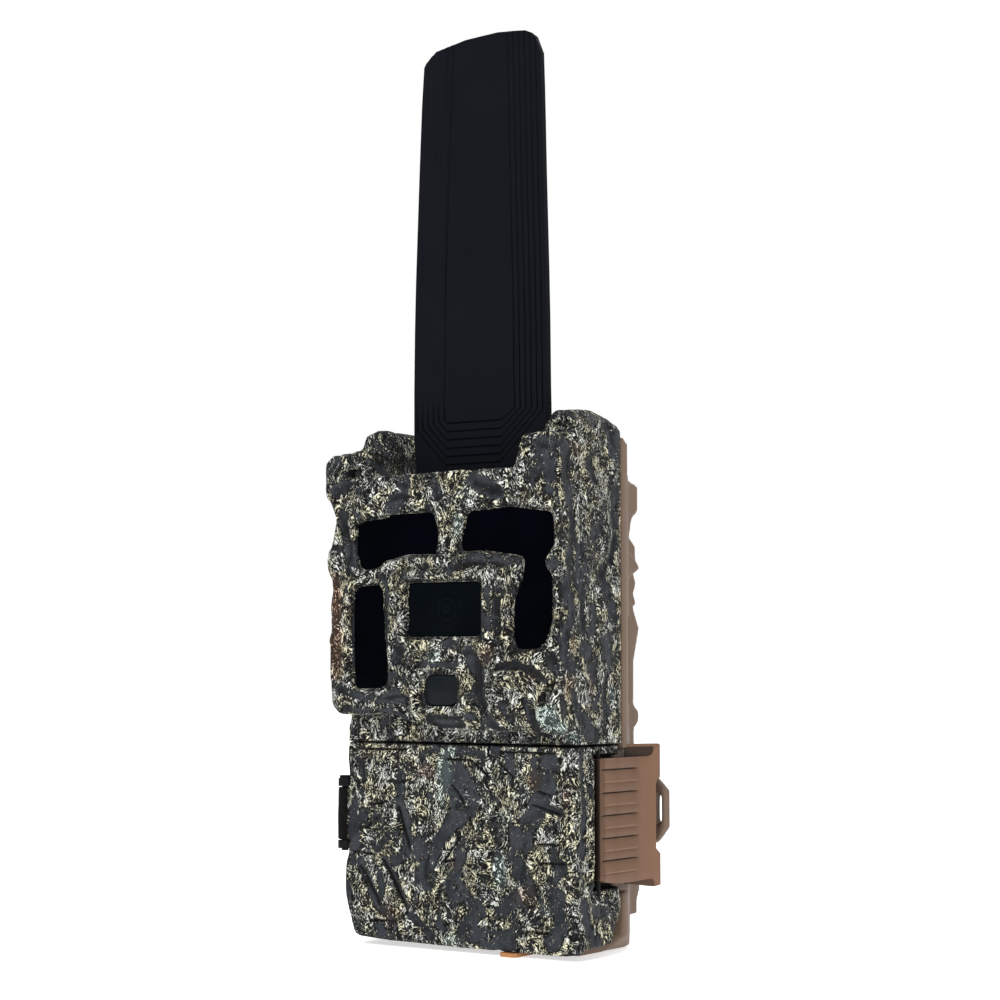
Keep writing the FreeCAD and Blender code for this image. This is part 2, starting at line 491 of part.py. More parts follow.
latch_bore = cyl("door_latch_bore", "Z", D["latch_x"], -D["latch_y"], 17.6, D["latch_pin_r"] + 0.02, 42.8)
# Shallow cracks of the bark relief on the door's face, each a groove in the (X, Z) plane.
CRACKS = [((-39.0, 59.6), (-20.0, 59.8)), ((-5.0, 57.2), (4.0, 57.0)), ((4.0, 57.0), (10.2, 52.6)),
          ((14.6, 59.8), (35.0, 59.6)), ((14.8, 56.2), (19.4, 52.2)), ((27.8, 48.4), (32.0, 47.4)),
          ((26.0, 44.4), (35.6, 42.0)), ((27.6, 33.0), (35.6, 33.2)), ((29.0, 27.6), (39.4, 27.8)),
          ((-23.4, 49.8), (-18.4, 50.6)), ((-23.4, 42.0), (-19.0, 29.6)), ((-35.0, 42.4), (-27.4, 43.6)),
          ((-40.0, 28.0), (-31.4, 27.4)), ((-37.6, 23.6), (-30.2, 12.0)), ((-28.8, 26.0), (-19.6, 10.6)),
          ((-33.8, 7.4), (-24.0, 7.6)), ((-6.6, 26.4), (-2.0, 27.2)), ((2.6, 40.2), (5.0, 36.6)),
          ((0.0, 34.2), (-6.0, 26.4)), ((-3.0, 49.4), (0.8, 44.6)), ((16.6, 12.4), (27.0, 24.6)),
          ((24.6, 7.6), (31.4, 7.4))]
cracks = []
for (x0, z0), (x1, z1) in CRACKS:
    L = math.hypot(x1 - x0, z1 - z0)
    ux, uz = (x1 - x0) / L, (z1 - z0) / L
    w = 0.35
    pts = [(x0 - uz * w, z0 + ux * w), (x0 + uz * w, z0 - ux * w), (x1 + uz * w, z1 - ux * w), (x1 - uz * w, z1 + ux * w)]
    cracks.append(prism("crack", "Y", pts, yf - 1.0, yf + 0.6))
door_solid = cut("door_base", fuse("door_fused", door_plate, top_rim, low_rim, left_rim, right_wall),
                 box("door_clear", 35.8, 50.0, -22.6, -5.0, 17.0, door_top + 1.0))
door_all = cut("door_recess", fuse("door_more", door_solid, lever_floor, lever_front, lever_sill, lever_head, barrel, web),
               recess, pin_bore, latch_bore)
node("front_door", cut("front_door_cut", door_all, *cracks))

# Seal ring on the door's inner face, around the control panel.
ring_out = rbox("ring_out", -37.4, 34.2, -27.4, -25.1, 6.2, 57.4, 3.0)
ring_in = rbox("ring_in", -35.4, 32.2, -28.0, -24.0, 8.2, 55.4, 2.0)
node("door_gasket", cut("door_gasket_cut", ring_out, ring_in))

# ================================================================ hinge
hx, hy = -D["hinge_x"], -D["hinge_y"]
arms = []
for z0, z1 in ((28.9, 31.3), (48.0, 50.4)):
    arms.append(prism("hinge_arm", "Z", [(hx - 2.2, hy), (hx + 1.9, hy), (-42.0, -24.0), (-41.6, -20.0), (-43.4, -20.0),
                                         (hx - 2.2, -24.5)], z0, z1))
    arms.append(cyl("hinge_ear", "Z", hx, hy, z0, D["knuckle_r"], z1 - z0))
hinge_plate = rbox("hinge_plate", -43.4, -41.6, -23.4, -6.5, 28.9, 50.4, 2.0, "X")
hinge_all = fuse("hinge_fused", hinge_plate, *arms)
hinge_bores = [cyl("hinge_bore", "Z", hx, hy, 20.0, D["hinge_pin_r"] + 0.02, 40.0)]
hinge_bores += [cyl("hinge_screw_hole", "X", -45.0, -12.0, z, 1.3, 6.0) for z in (33.8, 45.5)]
node("hinge_bracket", cut("hinge_bracket_cut", hinge_all, *hinge_bores))
pin_shaft = cyl("hinge_shaft", "Z", hx, hy, 28.2, D["hinge_pin_r"], 22.9)
pin_head = cyl("hinge_head", "Z", hx, hy, 50.5, 1.8, 0.8)
node("hinge_pin", fuse("hinge_pin_fuse", pin_shaft, pin_head))
node("hinge_screws", group("hinge_screws_group", *[fuse("hinge_screw", cyl("hs_shank", "X", -43.5, -12.0, z, 1.1, 4.0),
     cyl("hs_head", "X", -44.6, -12.0, z, 2.1, 1.15)) for z in (33.8, 45.5)]))

# ================================================================ latch lever
LEVER = [(41.9, -18.5), (42.9, -16.6), (43.3, 2.0), (44.7, 5.0), (48.6, 8.6), (48.6, 10.2), (46.9, 10.4), (43.4, 7.0),
         (41.3, 4.4), (40.9, 2.4), (38.3, -12.0), (38.2, -17.2), (38.9, -18.5), (40.2, -18.9)]
lever = prism("lever", "Z", LEVER, D["latch_low"], D["latch_high"])
wing = prism("lever_wing", "Z", [(44.7, 5.0), (48.6, 8.6), (48.6, 10.2), (46.9, 10.4), (43.4, 7.0), (43.0, 4.6)], 18.4, 60.6)
notch = box("lever_notch", 40.0, 60.0, 8.2, 20.0, 30.4, 51.4)
grooves = [box("lever_groove", 42.5, 44.0, -16.0, 3.6, z - 0.45, z + 0.45) for z in (54.2, 47.9, 41.2, 34.6, 27.9)]
lever_pin_bore = cyl("lever_bore", "Z", D["latch_x"], -D["latch_y"], 10.0, D["latch_pin_r"] + D["run_fit"], 60.0)
node("latch_lever", cut("latch_lever_cut", fuse("lever_fused", lever, wing), notch, lever_pin_bore, *grooves))
node("latch_pin", cyl("latch_pin", "Z", D["latch_x"], -D["latch_y"], 17.7, D["latch_pin_r"], 42.6))

# ================================================================ control panel
PH, pf = D["panel_half"], -D["panel_front"]
panel_out = rbox("panel_out", -PH, PH - 0.4, pf, -D["collar_front"] - 0.1, 5.6, 58.2, 2.5)
panel_in = rbox("panel_in", -PH + 1.8, PH - 2.2, pf + 1.9, -18.0, 11.6, 52.2, 1.5)
lcd_open = rbox("lcd_open", -27.0, 3.0, pf - 1.0, pf + 3.0, 29.0, 49.5, 1.0)
BUTTONS = [("ok_button", 18.5, 38.0, 2.9), ("up_button", 18.5, 45.6, 2.3), ("down_button", 18.5, 30.4, 2.3),
           ("left_button", 10.9, 38.0, 2.3), ("right_button", 26.1, 38.0, 2.3), ("menu_button", 10.4, 17.0, 2.6)]
button_holes = [cyl("button_hole", "Y", x, pf - 1.0, z, r + 0.15, 4.0) for _, x, z, r in BUTTONS]
switch_slot = rbox("switch_slot", -28.0, -14.0, pf - 1.0, pf + 3.0, 14.9, 18.1, 0.8)
card_mouth = box("card_mouth", PH - 3.0, PH + 1.0, pf + 1.9 - 0.3, -20.6, 13.0, 50.0)
finger_notch = rbox("finger_notch", 29.8, PH + 1.0, pf - 1.0, pf + 2.1, 14.6, 23.8, 2.0)
sim_notch = rbox("sim_notch", 0.4, 5.8, pf - 1.0, pf + 2.1, 16.4, 22.4, 1.5)
panel_screws_xz = [(x, z) for x in (-32.0, 32.0) for z in (8.0, 54.0)]
panel_screw_holes = [cyl("panel_screw_hole", "Y", x, pf - 1.0, z, 1.25, 8.0) for x, z in panel_screws_xz]
panel_screw_holes += [cyl("panel_screw_sink", "Y", x, pf - 1.0, z, 2.15, 2.25) for x, z in panel_screws_xz]
node("control_panel", cut("control_panel_cut", panel_out, panel_in, lcd_open, switch_slot, card_mouth, finger_notch, sim_notch,
                          *(button_holes + panel_screw_holes)))
node("panel_screws", group("panel_screws_group", *[fuse("panel_screw", cyl("ps_shank", "Y", x, pf + 0.5, z, 1.1, 7.4),
     cyl("ps_head", "Y", x, pf, z, 2.0, 1.2)) for x, z in panel_screws_xz]))
node("display_window", rbox("display_window", -26.9, 2.9, pf, pf + 1.95, 29.1, 49.4, 0.9))
node("display_module", box("display_module", -28.5, 4.0, pf + 2.0, pf + 4.0, 27.0, 51.0))
ctrl = box("control_board", -32.6, 31.8, -20.4, -19.25, 12.0, 51.8)
node("control_board", ctrl)
for name_, x, z, r in BUTTONS:
    cap = cyl(name_ + "_cap", "Y", x, pf - 1.0, z, r, 3.1)
    foot = cyl(name_ + "_foot", "Y", x, pf + 2.05, z, r + 0.7 if name_ != "ok_button" else r + 0.5, 0.7)
    node(name_, fuse(name_ + "_fuse", cap, foot))
knob = rbox("switch_knob", -23.0, -19.0, pf - 1.0, pf + 2.9, 15.1, 17.9, 0.6)
node("power_switch", knob)
# Memory and SIM cards lie flat behind the panel, each in a sprung socket.
sd_frame = box("sd_frame", 16.0, 31.0, -22.5, -20.5, 11.9, 26.6)
sd_gap = box("sd_gap", 17.4, 33.0, -21.95, -20.95, 13.0, 25.4)
node("sd_socket", cut("sd_socket_cut", sd_frame, sd_gap))
node("memory_card", prism("sd_body", "Y", [(18.6, 13.7), (33.3, 13.7), (33.3, 24.7), (20.6, 24.7), (18.6, 22.7)], -21.8, -21.1))
sim_frame = box("sim_frame", -12.5, 2.6, -22.5, -20.5, 13.2, 25.6)
sim_gap = box("sim_gap", -10.4, 6.0, -21.85, -21.05, 14.4, 24.4)
node("sim_socket", cut("sim_socket_cut", sim_frame, sim_gap))
node("sim_card", prism("sim_body", "Y", [(-9.0, 15.0), (3.3, 15.0), (3.3, 23.8), (-7.0, 23.8), (-9.0, 21.8)], -21.75, -21.15))

# ================================================================ battery tray
sg = D["slide_gap"]
bh, bf, br_ = D["bay_half"] - sg, -D["bay_front"] + sg, D["bay_rear"] - sg
tray_plan = [(-bh, bf), (bh, bf), (bh, 9.3), (28.2, br_), (-28.2, br_), (-bh, 9.3)]
tray_block = prism("tray_block", "Z", tray_plan, 0.0, D["bay_top"] - 0.5)
row_f = prism("tray_row_front", "Z", rect(-29.7, 29.7, -14.75, -0.1), 2.6, 55.2)
row_r = prism("tray_row_rear", "Z", [(-29.7, 0.4), (29.7, 0.4), (29.7, 9.0), (26.6, 15.0), (-26.6, 15.0), (-29.7, 9.0)], 2.6, 55.2)
win_f = rbox("tray_window_front", -27.6, 27.6, -17.0, -10.0, 7.0, 50.4, 2.0)
win_r = rbox("tray_window_rear", -24.6, 24.6, 10.0, 20.0, 7.0, 50.4, 2.0)
catch_pocket = box("catch_pocket", 14.6, 21.4, -17.0, -11.0, -1.0, 1.6)
node("battery_tray", cut("battery_tray_cut", tray_block, row_f, row_r, win_f, win_r, catch_pocket))
cells, springs, plates = [], [], []
pitch, cr = D["cell_pitch"], D["cell_r"]
for row, y in ((0, -D["row_front"]), (1, D["row_rear"])):
    for i in range(4):
        x = pitch * (i - 1.5)
        up = (i + row) % 2 == 0
        body_z = 3.6 if up else 5.0
        nub_z = 3.6 + 49.1 if up else 3.6
        cells.append(fuse("cell", cyl("cell_can", "Z", x, y, body_z, cr, D["cell_len"] - 1.4),
                          cyl("cell_nub", "Z", x, y, nub_z, 2.7, 1.4)))
        lo, hi = (2.6, 54.1) if up else (54.1, 2.6)
        springs.append(cone("contact_spring", "Z", x, y, lo, 3.6 if up else 2.4, 2.4 if up else 3.6, 1.0))
        plates.append(cyl("contact_plate", "Z", x, y, hi, 4.2, 0.98))
node("aa_cells", group("aa_cells_group", *cells))
node("battery_contacts", group("battery_contacts_group", *(springs + plates)))
catch_blade = prism("catch_blade", "Z", [(15.0, -12.2), (21.0, -12.2), (21.0, -30.6), (20.2, -31.4), (15.8, -31.4), (15.0, -30.6)], 0.0, 1.15)
node("tray_catch", catch_blade)

# ================================================================ jack and cover
jx, jy = D["jack_x"], D["jack_y"]
jack_body = cyl("jack_body", "Z", jx, jy, 2.6, 3.2, 9.6)
jack_bore = cyl("jack_bore", "Z", jx, jy, 2.0, D["jack_r"], 8.4)
node("dc_jack", fuse("dc_jack_fuse", cut("jack_tube", jack_body, jack_bore), cyl("jack_pin", "Z", jx, jy, 3.2, 1.0, 8.0)))
flap = rbox("jack_flap", -40.6, -34.0, -3.6, 11.2, 0.45, 1.95, 2.6, "Z")
node("jack_cover", cut("jack_cover_cut", flap, cyl("flap_bore", "Z", -37.2, 8.2, -1.0, 1.25, 5.0)))
node("jack_cover_rivet", fuse("rivet_fuse", cyl("rivet_shank", "Z", -37.2, 8.2, 0.3, 1.2, 6.0),
                              cyl("rivet_head", "Z", -37.2, 8.2, 0.0, 2.2, 0.35)))

# ================================================================ antenna
af, at = -D["antenna_front"], D["antenna_thick"]
ahl, aht, az1 = D["antenna_half_low"], D["antenna_half_top"], D["antenna_top"]


def paddle(k):
    return [(-20.6 + k * 0.6, 148.2 + k), (20.6 - k * 0.6, 148.2 + k), (ahl - k, 157.0 + k * 0.4), (aht - k, az1 - 6.0 - k * 0.4),
            (aht - 4.4 - k * 0.4, az1 - 1.0 - k), (9.0, az1 - 0.1 - k), (-9.0, az1 - 0.1 - k), (-aht + 4.4 + k * 0.4, az1 - 1.0 - k),
            (-aht + k, az1 - 6.0 - k * 0.4), (-ahl + k, 157.0 + k * 0.4)]


layers = [prism("paddle_base", "Y", paddle(0.0), af + 0.9, af + at),
          prism("paddle_step1", "Y", paddle(1.8), af + 0.6, af + 1.5),
          prism("paddle_step2", "Y", paddle(3.4), af + 0.3, af + 1.5),
          prism("paddle_step3", "Y", paddle(5.0), af, af + 1.5)]
apy, apz, apr = -D["antenna_pin_y"], D["antenna_pin_z"], D["antenna_pin_r"]
ears = []
for s in (-1, 1):
    x0 = 8.2 if s > 0 else -12.2
    ears.append(box("ear_web", x0, x0 + 4.0, af + at - 0.3, apy, apz - 3.0, apz + 3.0))
    ears.append(cyl("ear_eye", "X", x0, apy, apz, 3.0, 4.0))
ear_bore = cyl("ear_bore", "X", -20.0, apy, apz, apr + D["run_fit"], 40.0)
node("antenna_paddle", cut("antenna_paddle_cut", fuse("paddle_fused", *(layers + ears)), ear_bore))
blk = fuse("hinge_block_fuse", box("block_base", -7.8, 7.8, -14.1, -8.9, NF, apz),
           cyl("block_round", "X", -7.8, apy, apz, 2.6, 15.6))
node("antenna_hinge_block", cut("hinge_block_cut", blk, cyl("block_bore", "X", -20.0, apy, apz, apr + 0.02, 40.0),
                                cyl("block_coax", "Z", 0.0, apy, NF - 1.0, 1.0, 4.2)))
node("antenna_pin", cyl("antenna_pin", "X", -13.0, apy, apz, apr, 26.0))


def lead(name, pts, r):
    """Round lead: straight runs joined by tangent arcs, each arc as large as its runs allow."""
    P = [V(*p) for p in pts]
    edges, start = [], P[0]
    for i in range(1, len(P) - 1):
        a, b = P[i - 1] - P[i], P[i + 1] - P[i]
        turn = math.pi - a.getAngle(b)
        cutback = 0.45 * min(a.Length, b.Length)
        a.normalize(); b.normalize()
        p1, p2 = P[i] + a * cutback, P[i] + b * cutback
        rad = cutback / math.tan(turn / 2.0)
        bis = (a + b); bis.normalize()
        c = P[i] + bis * math.hypot(cutback, rad)
        m = c - bis * rad
        edges += [Part.LineSegment(start, p1).toShape(), Part.Arc(p1, m, p2).toShape()]
        start = p2
        print("lead radius", name, round(rad, 2))
    edges.append(Part.LineSegment(start, P[-1]).toShape())
    spine = doc.addObject("Part::Feature", uid(name + "_spine"))
    spine.Shape = Part.Wire(edges)
    ring = doc.addObject("Part::Circle", uid(name + "_ring"))
    ring.Radius = r
    d = P[1] - P[0]
    ring.Placement = FreeCAD.Placement(P[0], FreeCAD.Rotation(V(0, 0, 1), d))
    sw = doc.addObject("Part::Sweep", uid(name + "_sweep"))
    sw.Sections = [ring]
    sw.Spine = (spine, ["Edge%d" % (k + 1) for k in range(len(edges))])
    sw.Solid = True
    sw.Frenet = False
    return sw


coax = lead("coax", [(0.0, num(apy), 148.0), (0.0, num(apy), 131.0), (0.0, -6.6, 117.0), (0.0, -2.8, 103.0)], 0.7)
node("antenna_coax", coax)
node("power_lead", cyl("power_lead", "Z", 6.0, -2.4, 57.6, 0.8, 20.0))
node("board_connectors", group("board_connectors_group", box("coax_plug", -1.8, 1.8, -3.9, -1.45, 99.0, 102.8),
                                box("power_plug", 3.6, 8.4, -3.9, -1.45, 77.7, 82.5)))

# ================================================================ optics and boards
lr = D["lens_r"]
tube = cut("tube_cut", fuse("tube_fuse", cyl("tube_a", "Y", lx, -33.4, lz, lr, 12.3), cyl("tube_b", "Y", lx, -34.1, lz, lr + 0.9, 2.0)),
           cyl("tube_bore_a", "Y", lx, -35.0, lz, lr - 1.2, 9.0), cyl("tube_bore_b", "Y", lx, -30.0, lz, 3.9, 12.0))
node("lens_barrel", tube)
glass = []
for y0, r, thick, rad in ((-33.2, 5.35, 2.6, 9.0), (-25.4, 3.85, 1.8, 8.0)):
    ball = doc.addObject("Part::Sphere", uid("lens_ball"))
    ball.Radius = rad
    ball.Placement.Base = V(num(lx), y0 + rad, num(lz))
    c = doc.addObject("Part::Common", uid("lens_glass"))
    c.Base = cyl("lens_disc", "Y", lx, y0, lz, r, thick)
    c.Tool = ball
    glass.append(c)
node("lens_elements", group("lens_elements_group", *glass))
holder = cut("holder_cut", box("holder", lx - 11.0, lx + 11.0, -21.0, -15.3, lz - 7.5, lz + 7.5),
             box("holder_room", lx - 9.8, lx + 9.8, -19.6, -15.0, lz - 6.0, lz + 6.0),
             cyl("holder_bore", "Y", lx, -22.0, lz, 4.0, 4.0))
node("lens_holder", holder)
node("ir_cut_filter", box("ir_cut", lx - 8.6, lx + 2.6, -18.8, -17.6, lz - 4.2, lz + 4.2))
node("image_sensor", box("sensor", lx - 3.8, lx + 3.8, -16.4, -15.25, lz - 3.2, lz + 3.2))
node("camera_board", box("camera_board", lx - 14.0, lx + 14.0, -15.25, -13.9, lz - 12.0, lz + 12.0))
led_board = cut("led_board_cut", fuse("led_board_fuse", box("led_board", -37.2, 37.4, -31.2, -30.2, 76.4, 133.6),
                                      box("led_tongue", -8.0, 6.0, -31.2, -30.2, 72.4, 76.8)),
                box("led_board_hole", -15.6, 15.6, -32.0, -29.0, 92.6, 111.6),
                cyl("led_notch_a", "Y", -34.0, -32.0, 137.4, 4.2, 3.0), cyl("led_notch_b", "Y", 34.0, -32.0, 137.4, 4.2, 3.0))
node("ir_led_board", led_board)
LEDS = [(-29.0, 124.0), (-23.5, 124.0), (-18.0, 124.6), (-12.5, 124.8), (-7.0, 124.8)]
LEDS += [(-28.0, z) for z in (82.4, 87.9, 93.4, 98.9, 104.4)]
LEDS += [(x, 124.8) for x in (11.5, 17.0, 22.5, 28.0, 33.5)] + [(31.8, z) for z in (94.6, 100.1, 105.6, 111.1)]
leds = []
for x, z in LEDS:
    leds.append(fuse("led", cyl("led_base", "Y", x, -32.0, z, 1.7, 0.8), cone("led_dome", "Y", x, -33.9, z, 0.8, 1.45, 1.9)))
node("ir_leds", group("ir_leds_group", *leds))
node("motion_sensor", fuse("motion_fuse", cyl("motion_can", "Y", px_, -33.6, pz_, 3.9, 1.8), cyl("motion_rim", "Y", px_, -31.9, pz_, 4.4, 0.7)))
node("microphone", cyl("microphone", "Y", -34.1, -36.4, 144.3, 1.1, 2.4))
node("main_board", box("main_board", -29.4, 29.4, -1.4, -1.4 + D["pcb_thick"], 67.0, 139.0))
node("modem_module", rbox("modem", -24.0, -6.0, -3.6, -1.42, 84.0, 112.0, 0.8))
node("processor", rbox("processor", 12.0, 24.0, -2.8, -1.42, 104.0, 116.0, 0.4))

# ================================================================ rear bracket
bhf = D["bracket_half"]
bplate = rbox("bracket_plate", -bhf, bhf, yr + 0.05, yr + 3.0, 103.4, 132.6, 3.0)
BFIN = [(20.0, 103.4), (31.0, 103.4), (33.4, 105.0), (31.8, 108.0), (33.4, 111.4), (31.8, 114.6), (33.4, 118.0),
        (33.0, 123.2), (30.4, 125.2), (24.0, 129.6), (20.0, 131.6)]
bfins = [prism("bracket_fin", "X", BFIN, (bhf - 3.0) if s > 0 else -1.0 * bhf, bhf if s > 0 else -1.0 * bhf + 3.0) for s in (1, -1)]
boss = cyl("bracket_boss", "Y", 0.0, yr + 0.05, D["socket_z"], 7.6, D["socket_mouth"] - yr - 0.05)
gussets = [box("gusset", -bhf + 0.5, bhf - 0.5, yr + 2.0, yr + 6.5, D["socket_z"] - 1.2, D["socket_z"] + 1.2)]
bore_ = cyl("bracket_bore", "Y", 0.0, D["socket_mouth"] - D["socket_len"] - 0.5, D["socket_z"], 4.0, 20.0)
bscrews_xz = [(x, z) for x in (-17.0, 17.0) for z in (107.5, 128.5)]
bholes = [cyl("bracket_screw_hole", "Y", x, 15.0, z, 1.5, 10.0) for x, z in bscrews_xz]
node("tree_bracket", cut("tree_bracket_cut", fuse("bracket_fused", bplate, boss, *(bfins + gussets)), bore_, *bholes))
node("tripod_insert", cut("insert_cut", cyl("insert", "Y", 0.0, D["socket_mouth"] - D["socket_len"], D["socket_z"], 3.98, D["socket_len"]),
                          cyl("insert_thread", "Y", 0.0, 20.0, D["socket_z"], D["socket_r"], 20.0)))
screws = [fuse("bracket_screw", cyl("bs_shank", "Y", x, 13.0, z, D["screw_r"], 8.2),
               cyl("bs_head", "Y", x, 21.02, z, D["screw_head_r"], 1.6)) for x, z in bscrews_xz]
screws += [fuse("housing_screw", cyl("hsk_shank", "Y", x, -12.0, z, D["screw_r"], 17.1),
                cyl("hsk_head", "Y", x, 5.02, z, D["screw_head_r"], 1.8)) for x, z in BOSS_XZ]
node("case_screws", group("case_screws_group", *screws))

# ================================================================ check and write
doc.recompute()
bad = [o.Name for o in doc.Objects if "Invalid" in o.State or "Error" in o.State]
if bad:
    raise SystemExit("failed objects: %s" % bad)
labels = [n[0] for n in NODES]
print(len(labels), [x for x in labels if labels.count(x) > 1])
assert len(labels) == len(set(labels)) and len(labels) <= 60
for label, obj in NODES:
    sh = obj.Shape
    if sh.isNull() or not sh.isValid() or sh.Volume <= 0:
        raise SystemExit("bad shape: %s" % label)
for label, obj in NODES:
    bb = obj.Shape.BoundBox
    print("%-22s solids %2d  vol %9.1f  X %6.1f %6.1f  Y %6.1f %6.1f  Z %6.1f %6.1f" % (
        label, len(obj.Shape.Solids), obj.Shape.Volume, bb.XMin, bb.XMax, bb.YMin, bb.YMax, bb.ZMin, bb.ZMax))
    obj.Shape.exportStep("parts/%s.step" % label)
print(len(NODES), "nodes")
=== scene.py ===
import bpy
import bmesh
import json
import math
import numpy as np
from mathutils import Vector, Matrix


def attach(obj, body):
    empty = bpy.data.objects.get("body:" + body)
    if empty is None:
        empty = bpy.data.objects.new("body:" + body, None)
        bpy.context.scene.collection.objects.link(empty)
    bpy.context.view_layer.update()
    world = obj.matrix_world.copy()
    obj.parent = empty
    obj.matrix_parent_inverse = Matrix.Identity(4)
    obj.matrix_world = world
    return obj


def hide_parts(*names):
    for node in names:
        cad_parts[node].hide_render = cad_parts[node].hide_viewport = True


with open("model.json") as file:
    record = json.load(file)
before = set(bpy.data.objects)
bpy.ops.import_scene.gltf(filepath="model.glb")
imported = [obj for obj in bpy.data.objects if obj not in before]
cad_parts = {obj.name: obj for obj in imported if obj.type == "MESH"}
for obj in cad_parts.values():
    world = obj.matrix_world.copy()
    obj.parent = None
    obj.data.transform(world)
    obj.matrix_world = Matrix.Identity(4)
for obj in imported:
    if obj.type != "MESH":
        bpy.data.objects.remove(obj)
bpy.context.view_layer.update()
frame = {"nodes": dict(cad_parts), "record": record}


N = frame["nodes"]
MM = 0.001


# =============================================================== numeric helpers
def perlin(P, freq, seed):
    """Gradient noise in about -1..1 at the points P (mm)."""
    rng = np.random.default_rng(seed)
    g = rng.normal(size=(512, 3))
    g /= np.linalg.norm(g, axis=1)[:, None]
    perm = np.concatenate([rng.permutation(512)] * 2)
    q = P * freq + rng.uniform(0, 200, 3)
    i = np.floor(q).astype(np.int64)
    f = q - i
    u = f * f * f * (f * (f * 6 - 15) + 10)
    out = 0.0
    for dx in (0, 1):
        for dy in (0, 1):
            for dz in (0, 1):
                a = perm[(i[:, 0] + dx) & 511]
                b = perm[(a + i[:, 1] + dy) & 511]
                c = perm[(b + i[:, 2] + dz) & 511]
                d = f - np.array([dx, dy, dz])
                w = ((u[:, 0] if dx else 1 - u[:, 0]) * (u[:, 1] if dy else 1 - u[:, 1])
                     * (u[:, 2] if dz else 1 - u[:, 2]))
                out = out + w * (g[c] * d).sum(1)
    return out * 1.6


def fbm(P, freq, seed, octaves=3, gain=0.5):
    out, a = 0.0, 1.0
    for k in range(octaves):
        out = out + a * perlin(P, freq * 2.0 ** k, seed + 17 * k)
        a *= gain
    return out


def step(a, b, x):
    t = np.clip((x - a) / (b - a), 0.0, 1.0)
    return t * t * (3 - 2 * t)


def path_distance(U, W, pts, closed=False):
    """Distance of the points (U, W) to a polyline, and how far along it (0..1)."""
    best = np.full(U.shape, 1e9)
    along = np.zeros(U.shape)
    pts = [tuple(map(float, p)) for p in pts]
    if closed:
        pts = pts + [pts[0]]
    if len(pts) == 1:
        return np.hypot(U - pts[0][0], W - pts[0][1]), along
    total = sum(math.hypot(b[0] - a[0], b[1] - a[1]) for a, b in zip(pts, pts[1:]))
    run = 0.0
    for a, b in zip(pts, pts[1:]):
        dx, dy = b[0] - a[0], b[1] - a[1]
        L2 = dx * dx + dy * dy
        t = np.clip(((U - a[0]) * dx + (W - a[1]) * dy) / L2, 0, 1)
        d = np.hypot(U - a[0] - t * dx, W - a[1] - t * dy)
        near = d < best
        best = np.where(near, d, best)
        along = np.where(near, (run + t * math.sqrt(L2)) / total, along)
        run += math.sqrt(L2)
    return best, along


def inside(U, W, pts):
    """True where the points lie inside the closed outline."""
    r = np.zeros(U.shape, bool)
    n = len(pts)
    for i in range(n):
        x0, y0 = pts[i]
        x1, y1 = pts[(i + 1) % n]
        if y0 == y1:
            continue
        cross = (y0 > W) != (y1 > W)
        r ^= cross & (U < (x1 - x0) * (W - y0) / (y1 - y0) + x0)
    return r


# =============================================================== mesh helpers
def new_object(name, mesh):
    o = bpy.data.objects.new(name, mesh)
    bpy.context.scene.collection.objects.link(o)
    return o


def mesh_from(name, verts_mm, faces, smooth=True, mat=None):
    me = bpy.data.meshes.new(name)
    me.from_pydata([(x * MM, y * MM, z * MM) for x, y, z in verts_mm], [], [list(f) for f in faces])
    me.validate()
    bm = bmesh.new()
    bm.from_mesh(me)
    bmesh.ops.remove_doubles(bm, verts=bm.verts, dist=1e-7)
    bmesh.ops.recalc_face_normals(bm, faces=bm.faces)
    bm.to_mesh(me)
    bm.free()
    for p in me.polygons:
        p.use_smooth = smooth
    o = new_object(name, me)
    if mat:
        me.materials.append(mat)
    return o


def remeshed(name, nodes, voxel_mm):
    """One new object: the listed CAD nodes' meshes, rebuilt as an even grid of quads."""
    me = N[nodes[0]].data.copy()
    if len(nodes) > 1:
        bm = bmesh.new()
        for n in nodes:
            bm.from_mesh(N[n].data)
        bm.to_mesh(me)
        bm.free()
    bm = bmesh.new()
    bm.from_mesh(me)
    bmesh.ops.remove_doubles(bm, verts=bm.verts, dist=1e-7)
    bm.to_mesh(me)
    bm.free()
    o = new_object(name + "_src", me)
    o.scale = (1000, 1000, 1000)      # the grid is made at millimetre scale
    me.transform(Matrix.Scale(1000, 4))
    o.scale = (1, 1, 1)
    m = o.modifiers.new("grid", "REMESH")
    m.mode = "VOXEL"
    m.voxel_size = voxel_mm
    m.adaptivity = 0.0
    dg = bpy.context.evaluated_depsgraph_get()
    out = bpy.data.meshes.new_from_object(o.evaluated_get(dg))
    bpy.data.objects.remove(o)
    out.name = name
    out.materials.clear()
    return new_object(name, out)


def coords(me):
    co = np.zeros(len(me.vertices) * 3)
    me.vertices.foreach_get("co", co)
    return co.reshape(-1, 3)


def set_coords(me, co):
    me.vertices.foreach_set("co", co.astype(np.float32).ravel())
    me.update()


def normals(me):
    n = np.zeros(len(me.vertices) * 3, np.float32)
    me.vertex_normals.foreach_get("vector", n)
    return n.reshape(-1, 3).astype(float)


def edges_of(me):
    e = np.zeros(len(me.edges) * 2, np.int64)
    me.edges.foreach_get("vertices", e)
    return e.reshape(-1, 2)


def relax(co, e, times, amount=0.5, weight=None):
    """Moves each point towards the mean of its neighbours."""
    n = len(co)
    deg = np.bincount(e[:, 0], minlength=n) + np.bincount(e[:, 1], minlength=n)
    deg = np.maximum(deg, 1)[:, None]
    w = amount if weight is None else (amount * weight)[:, None]
    co = co.copy()
    for _ in range(times):
        s = np.stack([np.bincount(e[:, 0], co[e[:, 1], k], n) + np.bincount(e[:, 1], co[e[:, 0], k], n)
                      for k in range(3)], 1)
        co += (s / deg - co) * w
    return co


